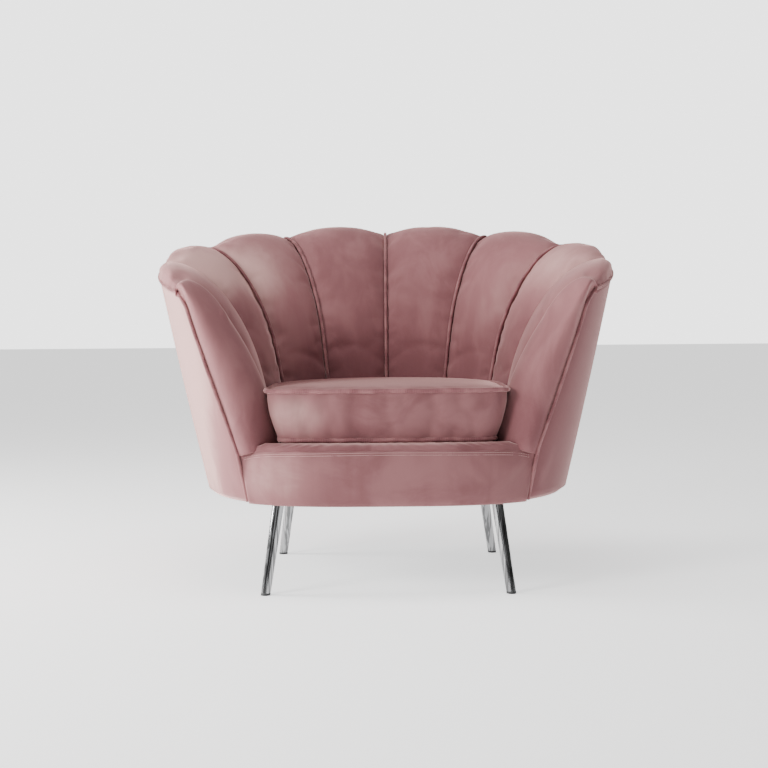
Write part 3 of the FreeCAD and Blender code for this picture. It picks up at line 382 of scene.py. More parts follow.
def welt_velvet():
    """Velvet drawn round a cord, with small creases across it."""
    name = "welt_velvet"
    if name in bpy.data.materials:
        return bpy.data.materials[name]
    c = look()
    w = Weave(name)
    run = w.add("ShaderNodeUVMap", {"uv_map": "Cord"})
    creases = w.wave(
        {"wave_type": "BANDS", "bands_direction": "Y"},
        {"Vector": run, "Scale": 85.0, "Distortion": 3.0, "Detail": 2.0, "Detail Scale": 1.5},
    )
    place = w.place()
    patches = w.speckle(place, 26.0, 2.0)
    shade = w.blend(patches.band(0.35, 0.65), tuple(c.velvet_shade), tuple(c.velvet))
    shade = w.blend(creases * 0.3, shade, times(c.velvet, 1.35))
    return w.finish(
        Base_Color=shade,
        Roughness=0.84 - creases * 0.06,
        Normal=w.bump(creases * 0.7 + w.speckle(place, 900.0, 2.0) * 0.3, 0.55, 0.0009),
        Sheen_Weight=c.sheen,
        Sheen_Roughness=0.34,
        Sheen_Tint=tuple(c.velvet_sheen),
        Specular_IOR_Level=0.25,
    )


def sewing_thread():
    w = Weave("sewing_thread")
    place = w.place()
    twist = {"wave_type": "BANDS", "bands_direction": "DIAGONAL"}
    ply = w.wave(twist, {"Vector": place, "Scale": 900.0, "Distortion": 0.5})
    shade = w.blend(ply * 0.6, tuple(look().thread), times(look().thread, 1.5))
    return w.finish(Base_Color=shade, Roughness=0.55 + ply * 0.1, Normal=w.bump(ply, 0.4, 0.0002), Sheen_Weight=0.3)


def polished_chrome():
    """Plated tube: drawing lines round it, dark streaks painted along it as painted reflections beside the bright
    ones the room's walls give, duller near the floor.
    """
    w = Weave("polished_chrome")
    place = w.place()
    rings = w.speckle(w.stretch(place, (6.0, 6.0, 700.0)), 1.0, 3.0, 0.6)
    smudge = w.speckle(place, 22.0, 4.0, 0.6)
    height = w.add("ShaderNodeSeparateXYZ", None, [place], output="Z")
    dull = 1.0 - height.band(0.004, 0.05)
    streaks = w.speckle(w.stretch(place, (170.0, 170.0, 2.5)), 1.0, 2.0, 0.5)
    plate = look().chrome
    shade = w.blend(smudge.band(0.4, 0.7) * 0.25, tuple(plate), times(plate, 0.82))
    # Painted reflections: dark streaks along the tube, painted into its colour.
    shade = w.blend(streaks.band(0.42, 0.58) * 0.72, shade, times(plate, 0.18))
    return w.finish(
        Base_Color=shade,
        Metallic=1.0,
        Roughness=0.05 + smudge * 0.05 + dull * 0.12 + rings * 0.02,
        Normal=w.bump(rings, 0.012, 0.0001),
    )


def coated_steel():
    """Black powder coat with its fine orange peel, worn at the screw seats."""
    w = Weave("coated_steel")
    place = w.place()
    peel = w.speckle(place, 620.0, 2.0)
    worn = w.speckle(place, 60.0, 4.0, 0.7).band(0.66, 0.74)
    shade = w.blend(worn * 0.5, (0.022, 0.022, 0.024), (0.16, 0.16, 0.17))
    relief = w.bump(peel, 0.25, 0.0003)
    return w.finish(Base_Color=shade, Roughness=0.48 + peel * 0.2, Metallic=worn * 0.7, Normal=relief)


def zinc_steel(name, shade, rough):
    """Plated or drawn steel with fine marks from the tool."""
    w = Weave(name)
    place = w.place()
    drawn = w.speckle(w.stretch(place, (300.0, 300.0, 80.0)), 1.0, 3.0)
    mottle = w.speckle(place, 90.0, 3.0)
    tint = w.blend(mottle.band(0.4, 0.65) * 0.5, shade, times(shade, 0.7))
    return w.finish(Base_Color=tint, Metallic=1.0, Roughness=rough + drawn * 0.15, Normal=w.bump(drawn, 0.15, 0.0002))


def planed_beech():
    """Beech: pale, with short dark flecks along the grain."""
    w = Weave("planed_beech")
    place = w.place()
    grain = w.speckle(w.stretch(place, (14.0, 14.0, 160.0)), 1.0, 5.0, 0.6, 0.4)
    flecks = w.speckle(w.stretch(place, (120.0, 120.0, 900.0)), 1.0, 2.0, 0.5).band(0.62, 0.72)
    base = tuple(look().timber)
    shade = w.blend(grain.band(0.3, 0.7), base, times(base, 0.78))
    shade = w.blend(flecks * 0.6, shade, times(base, 0.45))
    return w.finish(Base_Color=shade, Roughness=0.62 + grain * 0.1, Normal=w.bump(grain, 0.2, 0.0004))


def raw_plywood():
    """Plywood: rotary-cut grain on the faces, dark and light plies in its thickness."""
    w = Weave("raw_plywood")
    place = w.place()
    rings = {"wave_type": "RINGS", "rings_direction": "Z"}
    plies = w.wave(rings, {"Vector": place, "Scale": 95.0, "Distortion": 1.5, "Detail": 1.0})
    grain = w.speckle(w.stretch(place, (30.0, 30.0, 4.0)), 1.0, 5.0, 0.6, 1.4)
    base = tuple(look().ply)
    shade = w.blend(grain.band(0.3, 0.7), base, times(base, 0.72))
    shade = w.blend(plies * 0.25, shade, times(base, 0.6))
    return w.finish(Base_Color=shade, Roughness=0.7 + grain * 0.1, Normal=w.bump(grain, 0.3, 0.0005))


def woven(name, shade, scale, rough=0.9):
    """A plain weave of two crossing threads."""
    w = Weave(name)
    place = w.place()
    across, along, up = (
        w.wave({"wave_type": "BANDS", "bands_direction": axis}, {"Vector": place, "Scale": scale}) for axis in "XYZ"
    )
    threads = across * along * 0.6 + up * 0.4
    wear = w.speckle(place, 14.0, 3.0)
    tint = w.blend(threads.band(0.15, 0.8), times(shade, 0.6), shade)
    tint = w.blend(wear.band(0.45, 0.7) * 0.25, tint, times(shade, 1.4))
    return w.finish(Base_Color=tint, Roughness=rough - threads * 0.05, Normal=w.bump(threads, 0.5, 0.0005))


def spunbonded():
    """Black spunbonded cloth: random pressed fibres and a grid of bonding points."""
    w = Weave("spunbonded_cloth")
    place = w.place()
    fibres = w.speckle(w.stretch(place, (420.0, 160.0, 200.0)), 1.0, 4.0, 0.7, 2.0)
    cells = {"feature": "DISTANCE_TO_EDGE"}
    dots = w.add("ShaderNodeTexVoronoi", cells, {"Vector": place, "Scale": 420.0}, output="Distance")
    shade = w.blend(fibres.band(0.35, 0.7), (0.012, 0.012, 0.014), (0.045, 0.045, 0.05))
    return w.finish(Base_Color=shade, Roughness=0.8 - dots * 0.2, Normal=w.bump(fibres * 0.6 + dots, 0.5, 0.0004))


def moulded_plastic(name, shade):
    w = Weave(name)
    place = w.place()
    spark = w.speckle(place, 800.0, 2.0)
    scuff = w.speckle(place, 120.0, 4.0, 0.7).band(0.6, 0.75)
    tint = w.blend(scuff * 0.4, shade, tuple(x + 0.02 for x in times(shade, 2.5)))
    return w.finish(Base_Color=tint, Roughness=0.5 + spark * 0.15 + scuff * 0.1, Normal=w.bump(spark, 0.3, 0.0002))


def plain_floor():
    w = Weave("studio_floor")
    grain = w.speckle(w.place(), 5.0, 3.0)
    pale = tuple(bpy.context.scene.chair_stage.floor)
    shade = w.blend(grain.band(0.4, 0.6) * 0.3, pale, times(pale, 0.985))
    return w.finish(
        Base_Color=shade,
        Roughness=0.9,
        Specular_IOR_Level=0.1,
        Emission_Color=(1.0, 1.0, 1.0),
        Emission_Strength=bpy.context.scene.chair_stage.glow,
    )


# ---------------------------------------------------------------- shell geometry


def radians(degrees):
    return np.radians(np.asarray(degrees, float))


def reach(z, inset=0.0):
    s = sizes()
    rise = np.asarray(z, float) - s.base_bottom
    return (
        s.base_half_width + s.side_flare * rise - inset,
        s.base_back_reach + s.back_flare * rise - inset,
        s.base_front_reach + s.back_flare * rise - inset,
    )


def outer_point(angle, z, inset=0.0):
    """Points of the outer face, or inset from it along its normal."""
    s = sizes()
    half, back, front = reach(z)
    si, co = np.sin(radians(angle)), np.cos(radians(angle))
    depth = np.where(co >= 0, back, front)
    nx, ny = si / half, co / depth
    size = np.hypot(nx, ny)
    x = half * si - nx / size * inset
    y = s.plan_centre_y + depth * co - ny / size * inset
    return np.stack(np.broadcast_arrays(x, y, np.asarray(z, float)), -1)


def inner_point(angle, z):
    """Points of the inner seam surface below the roll."""
    s = sizes()
    half, back, _ = reach(z)
    si, co = np.sin(radians(angle)), np.cos(radians(angle))
    depth = np.where(co >= 0, back - s.back_depth, s.inner_front_reach)
    x, y = (half - s.side_depth) * si, s.plan_centre_y + depth * co
    return np.stack(np.broadcast_arrays(x, y, np.asarray(z, float)), -1)


def valley_height(angle):
    """Height of the ridge where it crosses a seam."""
    s = sizes()
    _, back, front = reach(s.side_ridge, s.ridge_inset)
    co = np.cos(radians(angle))
    return s.side_ridge + s.ridge_slope * np.where(co >= 0, back, front) * co - s.lobe_rise


def edge_height(angle):
    return valley_height(angle) - sizes().edge_drop


ROLL_START, RIDGE = 0.34, 0.86


def face_row(low, ridge, lobe, v):
    """One row across a channel's padded face; v runs from the seat, over the ridge, to the outer edge."""
    s = sizes()
    top = valley_height(ridge)
    crest = outer_point(ridge, top, s.ridge_inset)
    edge = outer_point(ridge, edge_height(ridge))
    if v < ROLL_START:
        turn, z = math.pi / 2, s.foam_bottom + (top - s.roll_height - s.foam_bottom) * v / ROLL_START
    else:
        turn = math.pi / 2 * max(0.0, (RIDGE - v) / (RIDGE - ROLL_START))
        z = top - s.roll_height * (1 - math.cos(turn))
    base = inner_point(low, z)
    inward = (base - crest) * (1.0, 1.0, 0.0)
    inward /= np.linalg.norm(inward, axis=-1, keepdims=True)
    lobe = lobe[..., None]
    if v <= RIDGE:
        si, co = math.sin(turn), math.cos(turn)
        place = crest * (1 - si) + base * si
        place[..., 2] = z
        high = s.lobe_rise * (1 - si) + s.lobe_high * si
        bulge = s.lobe_low + (high - s.lobe_low) * min(1.0, 1.6 * co)
        return place + (inward * si + np.array((0.0, 0.0, co))) * lobe * bulge
    turn = math.pi / 2 * (v - RIDGE) / (1 - RIDGE)
    si, co = math.sin(turn), math.cos(turn)
    place = crest * (1 - si) + edge * si
    place[..., 2] = top - (top - edge[..., 2]) * (1 - co)
    over = -inward * 0.012 * si * co
    return place + (np.array((0.0, 0.0, co * s.lobe_rise)) + over) * lobe


def pillow(u, v=0.0):
    """Rise of a padded lobe across its width: full between the seams below, a round scallop at the ridge."""
    power = 0.72 + 0.40 * min(1.0, max(0.0, (v - 0.45) / 0.35))
    return np.power(np.clip(4 * u * (1 - u), 0.0, 1.0), power)


def grid_normals(grid):
    """Unit normals of a grid of points (rows, columns, 3)."""
    down = np.gradient(grid, axis=0)
    across = np.gradient(grid, axis=1)
    normal = np.cross(across, down)
    return normal / np.maximum(np.linalg.norm(normal, axis=-1, keepdims=True), 1e-9)


def add_mesh(name, points, faces, material, uv=None, smooth=True):
    """A closed mesh with its faces turned outwards, linked to the scene."""
    mesh = bpy.data.meshes.new(name)
    mesh.from_pydata([tuple(map(float, p)) for p in points], [], faces)
    if uv is not None:
        layer = mesh.uv_layers.new(name="Cord")
        for loop in mesh.loops:
            layer.data[loop.index].uv = uv[loop.vertex_index]
    work = bmesh.new()
    work.from_mesh(mesh)
    bmesh.ops.recalc_face_normals(work, faces=work.faces)
    work.to_mesh(mesh)
    work.free()
    for polygon in mesh.polygons:
        polygon.use_smooth = smooth
    mesh.materials.append(material)
    obj = bpy.data.objects.new(name, mesh)
    bpy.context.scene.collection.objects.link(obj)
    return obj


def slab_mesh(front, back):
    """Points and faces of a closed pad from its face grid and its back grid."""
    rows, columns = front.shape[:2]
    points = np.concatenate([front.reshape(-1, 3), back.reshape(-1, 3)])
    shift = rows * columns
    faces = []
    for r in range(rows - 1):
        for c in range(columns - 1):
            a = r * columns + c
            quad = (a, a + 1, a + columns + 1, a + columns)
            faces.append(quad)
            faces.append(tuple(i + shift for i in reversed(quad)))
    rim = [r * columns for r in range(rows)]
    rim += [(rows - 1) * columns + c for c in range(1, columns)]
    rim += [r * columns + columns - 1 for r in range(rows - 2, -1, -1)]
    rim += list(range(columns - 2, 0, -1))
    for a, b in zip(rim, rim[1:] + rim[:1]):
        faces.append((a, b, b + shift, a + shift))
    return points, faces


def cord_mesh(name, points, radius, material, closed=False, sides=12):
    """A sewn cord along points, with UVs in metres along it."""
    line = np.asarray(points, float)
    if closed:
        ahead = np.roll(line, -1, 0) - np.roll(line, 1, 0)
    else:
        ahead = np.gradient(line, axis=0)
    ahead /= np.linalg.norm(ahead, axis=1, keepdims=True)
    side = np.cross(ahead[0], (0.0, 0.0, 1.0) if abs(ahead[0][2]) < 0.9 else (0.0, 1.0, 0.0))
    side /= np.linalg.norm(side)
    travelled = np.concatenate([[0.0], np.cumsum(np.linalg.norm(np.diff(line, axis=0), axis=1))])
    out, uv = [], []
    for k, point in enumerate(line):
        side = side - ahead[k] * np.dot(side, ahead[k])
        side /= np.linalg.norm(side)
        up = np.cross(ahead[k], side)
        for j in range(sides):
            turn = 2 * math.pi * j / sides
            out.append(point + radius * (side * math.cos(turn) + up * math.sin(turn)))
            uv.append((j / sides * 2 * math.pi * radius, travelled[k]))
    count = len(line)
    faces = []
    for k in range(count if closed else count - 1):
        n = (k + 1) % count
        for j in range(sides):
            m = (j + 1) % sides
            faces.append((k * sides + j, k * sides + m, n * sides + m, n * sides + j))
    if not closed:
        faces.append(tuple(range(sides - 1, -1, -1)))
        faces.append(tuple((count - 1) * sides + j for j in range(sides)))
    return add_mesh(name, out, faces, material, uv)


def smooth_line(points, count):
    """Evenly spaced points along a Catmull-Rom line through the given points."""
    p = np.asarray(points, float)
    p = np.concatenate([[2 * p[0] - p[1]], p, [2 * p[-1] - p[-2]]])
    fine = []
    for k in range(1, len(p) - 2):
        for t in np.linspace(0, 1, 24, endpoint=False):
            a, b, c, d = p[k - 1 : k + 3]
            bend, twist = 2 * a - 5 * b + 4 * c - d, 3 * b - a - 3 * c + d
            fine.append(0.5 * (2 * b + (c - a) * t + bend * t**2 + twist * t**3))
    fine.append(p[-2])
    fine = np.array(fine)
    run = np.concatenate([[0.0], np.cumsum(np.linalg.norm(np.diff(fine, axis=0), axis=1))])
    wanted = np.linspace(0, run[-1], count)
    return np.stack([np.interp(wanted, run, fine[:, k]) for k in range(3)], -1)


def pick(obj):
    """Makes one object the only selected one, and the active one."""
    bpy.ops.object.select_all(action="DESELECT")
    obj.select_set(True)
    bpy.context.view_layer.objects.active = obj


@contextmanager
def editing(action="SELECT"):
    """Edit mode on the active object, with everything, nothing or, for None, the earlier choice selected."""
    bpy.ops.object.mode_set(mode="EDIT")
    if action:
        bpy.ops.mesh.select_all(action=action)
    yield
    bpy.ops.object.mode_set(mode="OBJECT")


def select_ends(obj):
    """Selects only the faces that look along x."""
    with editing("DESELECT"):
        pass
    for polygon in obj.data.polygons:
        polygon.select = abs(polygon.normal.x) > 0.9


def bevel(offset, segments):
    with editing():
        bpy.ops.mesh.bevel(offset=offset, segments=segments, affect="EDGES")


def block(location, size):
    """A cube at its place and size."""
    bpy.ops.object.select_all(action="DESELECT")
    bpy.ops.mesh.primitive_cube_add(size=1.0, location=location)
    bpy.context.object.scale = size
    bpy.ops.object.transform_apply(location=True, rotation=True, scale=True)
    return bpy.context.object


def take_shape(obj):
    """Points and faces of a pattern piece, which is then removed."""
    shape = np.array([v.co[:] for v in obj.data.vertices])
    faces = [tuple(p.vertices) for p in obj.data.polygons]
    bpy.data.objects.remove(obj)
    return shape, faces


def add_copy(points, faces, shape, shape_faces):
    """Adds a placed copy of a pattern piece to a growing mesh."""
    shift = len(points)
    points.extend(shape)
    faces.extend(tuple(i + shift for i in f) for f in shape_faces)


def soften(points, passes):
    """Evens out rows of points in place, but for the first and the last."""
    for _ in range(passes):
        points[1:-1] = (points[:-2] + 2 * points[1:-1] + points[2:]) / 4


def eased(share):
    """0 below 0, 1 above 1, smooth between."""
    share = np.clip(share, 0, 1)
    return share * share * (3 - 2 * share)


def settle(obj, body, slot, *nodes):
    """Says which body a piece rides on and which CAD nodes it stands for. Its slot, the name of its finish, is not
    used.
    """
    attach(obj, body)
    if nodes:
        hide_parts(*nodes)
    return obj


def hold(obj, indices, give):
    """Marks the cloth that is sewn or glued down, and how far the rest may move."""
    group = obj.vertex_groups.new(name="sewn")
    group.add([int(i) for i in sorted(indices)], 1.0, "REPLACE")
    obj["give"] = give


def slab_seams(rows, columns, low_rows, high_rows):
    """Points of a slab that are sewn: its two sides, some rows at each end, and its back."""
    size = rows * columns
    sides = {r * columns + c for r in range(rows) for c in (0, columns - 1)}
    return sides | set(range(low_rows * columns)) | set(range(size - high_rows * columns, 2 * size))


def add_pad(name, front, back, cover, node, fill):
    """A closed pad between its face and back grids, standing for one CAD node."""
    obj = add_mesh(name, *slab_mesh(front, back), cover)
    settle(obj, "chair", "velvet", node)
    return obj


def ripple(points, scale, seed):
    """Smooth noise, one value for each point, the same every run."""
    shift = Vector((seed * 7.3, seed * 3.1, seed * 5.7))
    return np.array([noise.noise(Vector(p) * scale + shift) for p in points])


# ---------------------------------------------------------------- padded shell


class MakeChannels(bpy.types.Operator):
    """Eight channels, each a full lobe of padding between two sewn seams"""

    bl_idname = "armchair.channels"
    bl_label = "Channels"

    def execute(self, context):
        s = sizes()
        columns, rows = 19, 74
        u = np.linspace(0.0, 1.0, columns)
        u = 0.5 - 0.5 * np.cos(np.pi * (0.15 + 0.7 * u))
        u = (u - u[0]) / (u[-1] - u[0])
        for side, sign in SIDES.items():
            for number in range(1, 5):
                low = SEAM_LOW[number - 1] + (SEAM_LOW[number] - SEAM_LOW[number - 1]) * u
                ridge = SEAM_RIDGE[number - 1] + (SEAM_RIDGE[number] - SEAM_RIDGE[number - 1]) * u
                lobe = pillow(u)
                v = np.concatenate([np.linspace(0, 1, rows - 4, endpoint=False), [0.986, 0.993, 0.997, 1.0]])
                face = np.stack([face_row(low, ridge, pillow(u, t), t) for t in v])
                flat = np.stack([face_row(low, ridge, lobe * 0, t) for t in v])
                for grid in (face, flat):
                    soften(grid[:43], 24)
                normal = grid_normals(flat)
                middle = rows // 3, columns // 2
                if normal[middle][:2] @ (flat[middle][:2] - (0.0, s.plan_centre_y)) > 0:
                    normal = -normal
                seam_dip = np.exp(-((u * columns / 1.2) ** 2)) + np.exp(-(((1 - u) * columns / 1.2) ** 2))
                face = face + normal * (-0.0022 * seam_dip)[None, :, None]
                # short gathers where the cover is pulled down over the seat rail
                near = np.clip(1 - v / 0.25, 0, 1)[:, None] ** 1.5
                wave = 0.0012 * np.sin(2 * np.pi * u * 3 + number)[None, :] * near * lobe[None, :]
                face = face + normal * wave[..., None]
                depth = np.interp(v, (0, 0.5, RIDGE, 1.0), (0.034, 0.034, 0.018, 0.006))
                back = flat - normal * depth[:, None, None]
                shrink = 0.0006 * np.sign(0.5 - u)[None, :, None]
                across = face[:, -1:] - face[:, :1]
                across = across / np.linalg.norm(across, axis=-1, keepdims=True)
                face = face + across * shrink
                back = back + across * shrink * 3
                if sign < 0:
                    face, back = face * (-1, 1, 1), back * (-1, 1, 1)
                cover = velvet("channel_velvet", 1.0, (1.0, 1.0, 0.5), CHANNEL_PAINTED_LIGHT_AND_SHADE)
                obj = add_pad(f"padding_{side}_{number}", face, back, cover, f"channel_{side}_{number}", 0.8)
                hold(obj, slab_seams(rows, columns, 1, 2), 0.005)
        return {"FINISHED"}


def seam_line(count=90):
    """The foremost channel seam, from the seat over the ridge to the outer edge, on the right side."""
    low = np.array([SEAM_LOW[-1]])
    ridge = np.array([SEAM_RIDGE[-1]])
    return np.array([face_row(low, ridge, np.zeros(1), t)[0] for t in np.linspace(0, 1, count)])


def arm_front(z):
    """The arm front's outer edge at a height, where its welt runs."""
    s = sizes()
    y = s.arm_front_y + s.arm_rake * np.abs(np.asarray(z, float) - s.border_top)
    half, _, front = reach(z)
    c = (y - s.plan_centre_y) / front
    return np.stack([half * np.sqrt(1 - c * c), y, np.asarray(z, float)], -1)


def top_corner():
    """Angle and height at which the top edge meets the arm front."""
    z = float(edge_height(SEAM_RIDGE[-1]))
    _, _, front = reach(z)
    y = sizes().arm_front_y + sizes().arm_rake * abs(z - sizes().border_top)
    angle = math.degrees(math.acos((y - sizes().plan_centre_y) / front))
    return angle, float(edge_height(angle))


def clear_of(grid, normal, nodes, gap):
    """Moves a cover's points outwards where the frame behind it comes nearer than a gap."""
    ahead, most = 0.05, 0.02  # how far in front the search starts, and the largest push
    grid = grid.copy()
    graph = bpy.context.evaluated_depsgraph_get()
    for name in nodes:
        tree = BVHTree.FromObject(bpy.data.objects[name], graph)
        push = np.zeros(grid.shape[:2])
        for r in range(grid.shape[0]):
            for c in range(2, grid.shape[1] - 3):
                point, out = Vector(grid[r, c]), Vector(normal[r, c])
                hit = tree.ray_cast(point + out * ahead, -out, ahead + gap)
                if hit[0] is not None:
                    push[r, c] = max(0.0, ahead + gap - hit[3])
        for _ in range(2):
            wide = push.copy()
            around = (push[:-2, 1:-1], push[2:, 1:-1], push[1:-1, :-2], push[1:-1, 2:])
            wide[1:-1, 1:-1] = np.maximum.reduce([push[1:-1, 1:-1], *(0.8 * near for near in around)])
            push = wide
        grid = grid + normal * np.minimum(push, most)[..., None]
    return grid


class MakeArmPads(bpy.types.Operator):
    """Padded arm fronts, from the last channel seam round the nose to the welt on their outer edge"""

    bl_idname = "armchair.arm_pads"
    bl_label = "Arm fronts"

    def execute(self, context):
        s = sizes()
        rows, columns = 84, 34
        seam = seam_line(400)
        angle, corner = top_corner()
        bottom = s.border_top + 0.0005
        start = np.argmax(seam[:, 2] >= bottom)
        seam = smooth_line(seam[start:], 300)
        # the outer line: up the welt, then back along the top edge to the seam's end
        up = arm_front(np.linspace(bottom, corner - 0.004, 60))
        turn = np.linspace(angle, SEAM_RIDGE[-1], 8)
        along = outer_point(turn, edge_height(turn))
        outer = np.concatenate([up, along[1:]])
        outer[:, 2] = np.maximum.accumulate(outer[:, 2])
        ridge_row = int(np.argmax(seam[:, 2]))
        share = np.linspace(0, 1, rows)
        run_seam = np.linspace(0, 1, len(seam))
        outer = smooth_line(outer, 300)
        # rows start level and fan out round the top corner
        seam_place = np.interp(share, (0, 0.80, 1), (0, run_seam[ridge_row] * 0.93, 1.0))
        up_length, whole_length = (np.linalg.norm(np.diff(line, axis=0), axis=1).sum() for line in (up, outer))
        outer_place = np.interp(share, (0, 0.80, 1), (0, up_length / whole_length * 0.93, 1.0))
        inner_line = np.stack([np.interp(seam_place, run_seam, seam[:, k]) for k in range(3)], -1)
        run_outer = np.linspace(0, 1, len(outer))
        outer_line = np.stack([np.interp(outer_place, run_outer, outer[:, k]) for k in range(3)], -1)
        soften(inner_line, 6)
        soften(outer_line, 6)
        t = np.linspace(0, 1, columns)
        face, back = [], []
        for k in range(rows):
            root, rim = inner_line[k], outer_line[k]
            rise = share[k]
            close = np.clip((rise - 0.72) / 0.28, 0, 1)
            full = 1 - close**2.0
            bulge = (0.030 - 0.011 * rise) * (1 - 0.60 * close)
            width, depth = rim[0] - root[0], root[1] - rim[1]
            nose_y = rim[1] - s.arm_nose * (0.35 + 0.65 * full)
            if depth < 0.0:
                nose_y = min(rim[1], root[1]) - s.arm_nose * 0.35
            control = [
                (root[0], root[1]),
                (root[0] - 0.85 * bulge, root[1] - 0.30 * depth),
                (root[0] - 1.05 * bulge, root[1] - 0.62 * depth),
                (root[0] - 0.55 * bulge + 0.06 * width, root[1] - 0.93 * depth),
                (root[0] + 0.28 * width, nose_y - 0.002),
                (root[0] + 0.66 * width, nose_y),
                (rim[0] - 0.08 * width, rim[1] - 0.50 * s.arm_nose * (0.35 + 0.65 * full)),
                (rim[0] - 0.0020, rim[1] + 0.0012),
            ]
            flat = smooth_line([(x, y, 0.0) for x, y in control], columns)
            soften(flat, 7)
            height = root[2] + (rim[2] - root[2]) * t
            dome = eased((rise - 0.58) / 0.24) * np.clip((1 - rise) / 0.10, 0, 1) ** 0.5
            height = height + np.sin(np.pi * t) ** 0.55 * 0.021 * dome
            row = np.stack([flat[:, 0], flat[:, 1], height], -1)
            face.append(row)
            direct = root + (rim - root) * t[:, None]
            direct[:, 1] += np.sin(np.pi * t) * 0.004
            inside = row + (direct - row) * 0.80
            inside[:, 2] -= 0.010 * close
            back.append(inside)
        face, back = np.array(face), np.array(back)
        edge = np.exp(-(((face[..., 2] - bottom) / 0.009) ** 2)) * np.clip(np.sin(np.pi * t) * 4, 0, 1)[None, :]
        face[..., 1] += 0.0075 * edge
        for grid in (face, back):
            dip = s.border_top - seam_height(np.clip(grid[..., 0] / SEAM_HALF, 0, 1.0))
            grid[..., 2] -= (dip + 0.0008) * np.clip(1 - (grid[..., 2] - bottom) / 0.07, 0, 1)
        # gathers where the cover is pleated in over the seat rail
        level = (face[..., 2] - bottom) / 0.075
        fade = np.clip(1 - level, 0, 1) ** 1.3 * np.sin(np.pi * np.clip(t, 0.02, 0.98))[None, :] ** 0.5
        fold = np.sin(2 * np.pi * (t * 11 + 0.35 * np.sin(9 * t)))[None, :] * 0.0024
        fold = fold + np.sin(2 * np.pi * t * 5 + 1)[None, :] * 0.0018
        normal = grid_normals(face)
        middle = normal[rows // 2, columns // 2]
        if middle[1] > 0:
            normal = -normal
        face = face + normal * (fade * fold)[..., None]
        for _ in range(3):
            around = face[:-2, 1:-1] + face[2:, 1:-1] + face[1:-1, :-2] + face[1:-1, 2:]
            face[1:-1, 1:-1] = (face[1:-1, 1:-1] * 4 + around) / 8
        face = clear_of(face, normal, ("arm_stile_right", "top_hoop", "side_rail_right", "rib_right_3"), 0.004)
        for side, sign in SIDES.items():
            cover = velvet("arm_velvet", 1.0, (1.0, 1.0, 0.5), ARM_PAINTED_LIGHT_AND_SHADE)
            grids = face * (sign, 1, 1), back * (sign, 1, 1)
            obj = add_pad(f"arm_padding_{side}", *grids, cover, f"arm_pad_{side}", 0.8)
            hold(obj, slab_seams(rows, columns, 2, 1), 0.006)
        return {"FINISHED"}


# outside panels: gap left at a seam (share of the half turn), depth of the sewn edge, roll under the base
SEAM_GAP, SEAM_TUCK, UNDER_ROLL = 0.0012 / 0.9, 0.0022, 0.012


class MakeOutside(bpy.types.Operator):
    """Smooth outside back and arm panels, rolled under at the bottom and sewn at the two rear seams"""

    bl_idname = "armchair.outside"
    bl_label = "Outside panels"

    def execute(self, context):
        s = sizes()
        angle, _ = top_corner()
        panels = [("back", -REAR_SEAM, REAR_SEAM, 53, 52), ("arm", REAR_SEAM, 1.0, 47, 46)]
        for panel, start, end, columns, tightness in panels:
            share = np.linspace(start + SEAM_GAP, end - SEAM_GAP * 0.3, columns)
            edge = np.minimum(np.abs(share - start), np.abs(end - share)) / (end - start)
            tuck = SEAM_TUCK * np.exp(-((edge * tightness) ** 2))
            z_low, z_high = s.base_bottom, edge_height(np.abs(share) * angle) - 0.001
            rows_out, rows_in = [], []
            for level in np.linspace(0, 1, 46):
                z = z_low + (z_high - z_low) * level
                _, _, front = reach(z)
                y = s.arm_front_y + s.arm_rake * np.abs(z - s.border_top)
                last = np.degrees(np.arccos(np.clip((y - s.plan_centre_y) / front, -1, 1)))
                rolled = np.clip(1 - (z - z_low) / UNDER_ROLL, 0, 1)
                inset = UNDER_ROLL * (1 - np.sqrt(np.clip(1 - rolled**2, 0, 1)))
                puff = 0.0016 * np.sin(np.pi * level)
                inset = inset + tuck - puff * (1 - np.exp(-((edge * 20) ** 2)))
                rows_out.append(outer_point(share * last, z, inset))
                rows_in.append(outer_point(share * last, z, np.maximum(inset + 0.003, s.skin)))
            face, back = np.array(rows_out), np.array(rows_in)
            cover = velvet("outside_velvet", 1.0, (1.0, 1.0, 0.5), OUTSIDE_PAINTED_LIGHT_AND_SHADE)
            if panel == "back":
                add_pad("outside_back_panel", face, back, cover, "outside_back", 1.0)
                continue
            for side, sign in SIDES.items():
                grids = face * (sign, 1, 1), back * (sign, 1, 1)
                add_pad(f"outside_panel_{side}", *grids, cover, f"outside_{side}", 1.0)
        return {"FINISHED"}


# channel cords: lowest point, how far they stand proud of the seam, and their lift over the ridge
CORD_FOOT, CORD_PROUD, CORD_LIFT = 0.312, 0.0034, 0.0024


